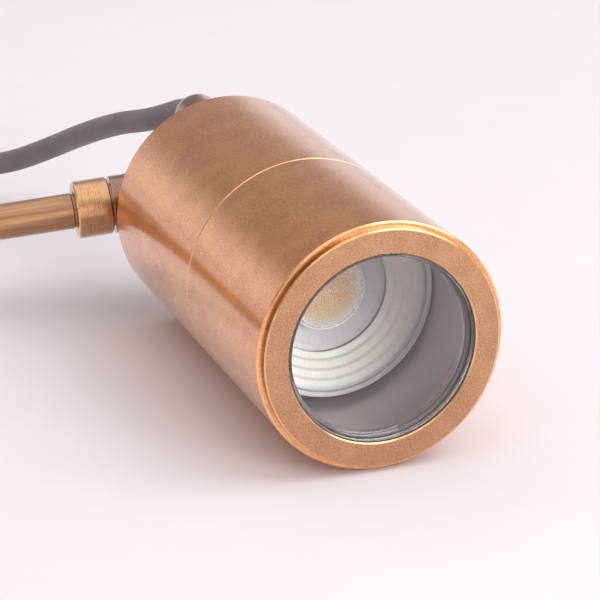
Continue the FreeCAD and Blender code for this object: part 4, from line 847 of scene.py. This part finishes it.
two = strand_tree.add("ShaderNodeVectorMath", {0: over, "Scale": strand_tree.math(
    "MULTIPLY", out, strand_tree.math("SINE", wind))}, operation="SCALE").outputs[0]
offset = strand_tree.add("ShaderNodeVectorMath", {0: one, 1: two}).outputs[0]
laid = strand_tree.add("GeometryNodeSetPosition", {"Geometry": many.outputs[0], "Offset": offset}).outputs[0]
wire = strand_tree.add("GeometryNodeCurvePrimitiveCircle", {"Resolution": 6, "Radius": at["strand_radius"]})
round_wire = strand_tree.add("GeometryNodeCurveToMesh", {"Curve": laid, "Profile Curve": wire.outputs[0],
                                                         "Fill Caps": True}).outputs[0]
strand_tree.close(round_wire, finishes["copper_strand"])

spine = bpy.data.meshes.new("strand_lines")
spots = []
runs = []
for end, way in core_ends:
    start = len(spots)
    spots += [end + way * (STRAND_REACH * step / STRAND_STEPS - STRAND_TUCK)
              for step in range(STRAND_STEPS + 1)]
    runs += [(start + step, start + step + 1) for step in range(STRAND_STEPS)]
spine.from_pydata(spots, runs, [])
strands = strand_tree.grow("head", spine)
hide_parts("tail_strands")

# %% [markdown]
# ## The flex as a cord
# With its cores and strands made, the flex gets the jacket's finish. Its far end is bare, because the light is
# sold without a plug.

# %% Cord
flex.data.materials.append(finishes["flex_jacket"])
print("flex laid")

# %% [markdown]
# ## Surface
# The photograph has a pale, slightly pink paper surface. It stays matt and keeps the shadow. It lies a hair
# below the light, so that the two never share a plane.

# %% Surface
REACH = 6.0
HAIR = 0.0002
CORNERS = [(-REACH, -REACH, 0), (REACH, -REACH, 0), (REACH, REACH, 0), (-REACH, REACH, 0)]
floor_mesh = bpy.data.meshes.new("floor")
floor_mesh.from_pydata(CORNERS, [], [(0, 1, 2, 3)])
floor = bpy.data.objects.new("floor", floor_mesh)
floor.location.z = -HAIR
scene.collection.objects.link(floor)
paper = Finish("paper", roughness=0.75, specular_ior_level=0.2)
fibre = paper.noise(paper.object, 0.02, 3.0)
paper.set(base_color=paper.ramp(fibre, (0.3, (0.800, 0.772, 0.796)), (0.7, (0.812, 0.784, 0.808))))
floor_mesh.materials.append(paper.material)
print("surface laid")

# %% [markdown]
# ## Surroundings
# The metal shows what is round it, so the world matters as much as the lamps. It is pale near the horizon,
# like a paper backdrop's upward curve, darker above it, and bright overhead, like a studio's ceiling bounce.
# It could be a picture of a studio, but five greys by height do the same and stay easy to change.

# %% World
world = bpy.data.worlds.new("world")
world.use_nodes = True
scene.world = world
tree = world.node_tree
background = tree.nodes["Background"]
heading = tree.nodes.new("ShaderNodeTexCoord").outputs["Generated"]
upright = tree.nodes.new("ShaderNodeSeparateXYZ")
tree.links.new(heading, upright.inputs[0])
sky = tree.nodes.new("ShaderNodeValToRGB")
tree.links.new(upright.outputs["Z"], sky.inputs["Fac"])
SKY = [   # height of the direction, from level 0 to straight up 1, and colour
    (0.15, (0.92, 0.89, 0.91)),
    (0.32, (0.34, 0.32, 0.33)),
    (0.46, (0.33, 0.32, 0.325)),
    (0.62, (0.66, 0.64, 0.65)),
    (0.85, (1.25, 1.21, 1.23)),
]
for extra in range(len(SKY) - 2):
    sky.color_ramp.elements.new(0.5)
for element, (height, colour) in zip(sky.color_ramp.elements, SKY):
    element.position = height
    element.color = (*colour, 1)
tree.links.new(sky.outputs["Color"], background.inputs["Color"])
background.inputs["Strength"].default_value = 1.0
print("world:", len(SKY), "heights")

# %% [markdown]
# ## Lamps
# One broad soft light stands high on the right and gives the shadow to the left. A weaker one, low in front,
# lights the lamp inside the head. Its place decides where the round collar and rod shine.

# %% Softboxes
LAMP_COLOUR = (1.0, 0.98, 0.98)
LAMP_AIM_RIGHT = (0.10, 0.0, 0.03)
LAMP_AIM_FRONT = (0.12, 0.0, 0.03)


def softbox(name, place, aim, width, height, watts):
    """A large soft lamp that faces a place; sizes are in metres."""
    data = bpy.data.lights.new(name, "AREA")
    data.shape = "RECTANGLE"
    data.size = width
    data.size_y = height
    data.energy = watts
    data.color = LAMP_COLOUR
    lamp = bpy.data.objects.new(name, data)
    lamp.location = place
    lamp.rotation_euler = (Vector(aim) - Vector(place)).to_track_quat("-Z", "Y").to_euler()
    scene.collection.objects.link(lamp)


softbox("softbox_right", (1.10, -0.50, 1.10), LAMP_AIM_RIGHT, 1.2, 1.2, 8.7)
softbox("softbox_front", (0.63, -1.40, 0.42), LAMP_AIM_FRONT, 0.9, 0.8, 12.5)
print("lamps:", len(bpy.data.lights))

# %% [markdown]
# ## Finish
# The view layer is updated, and the view transform is set to Standard.

# %% Finish
bpy.context.view_layer.update()
scene.view_settings.view_transform = "Standard"
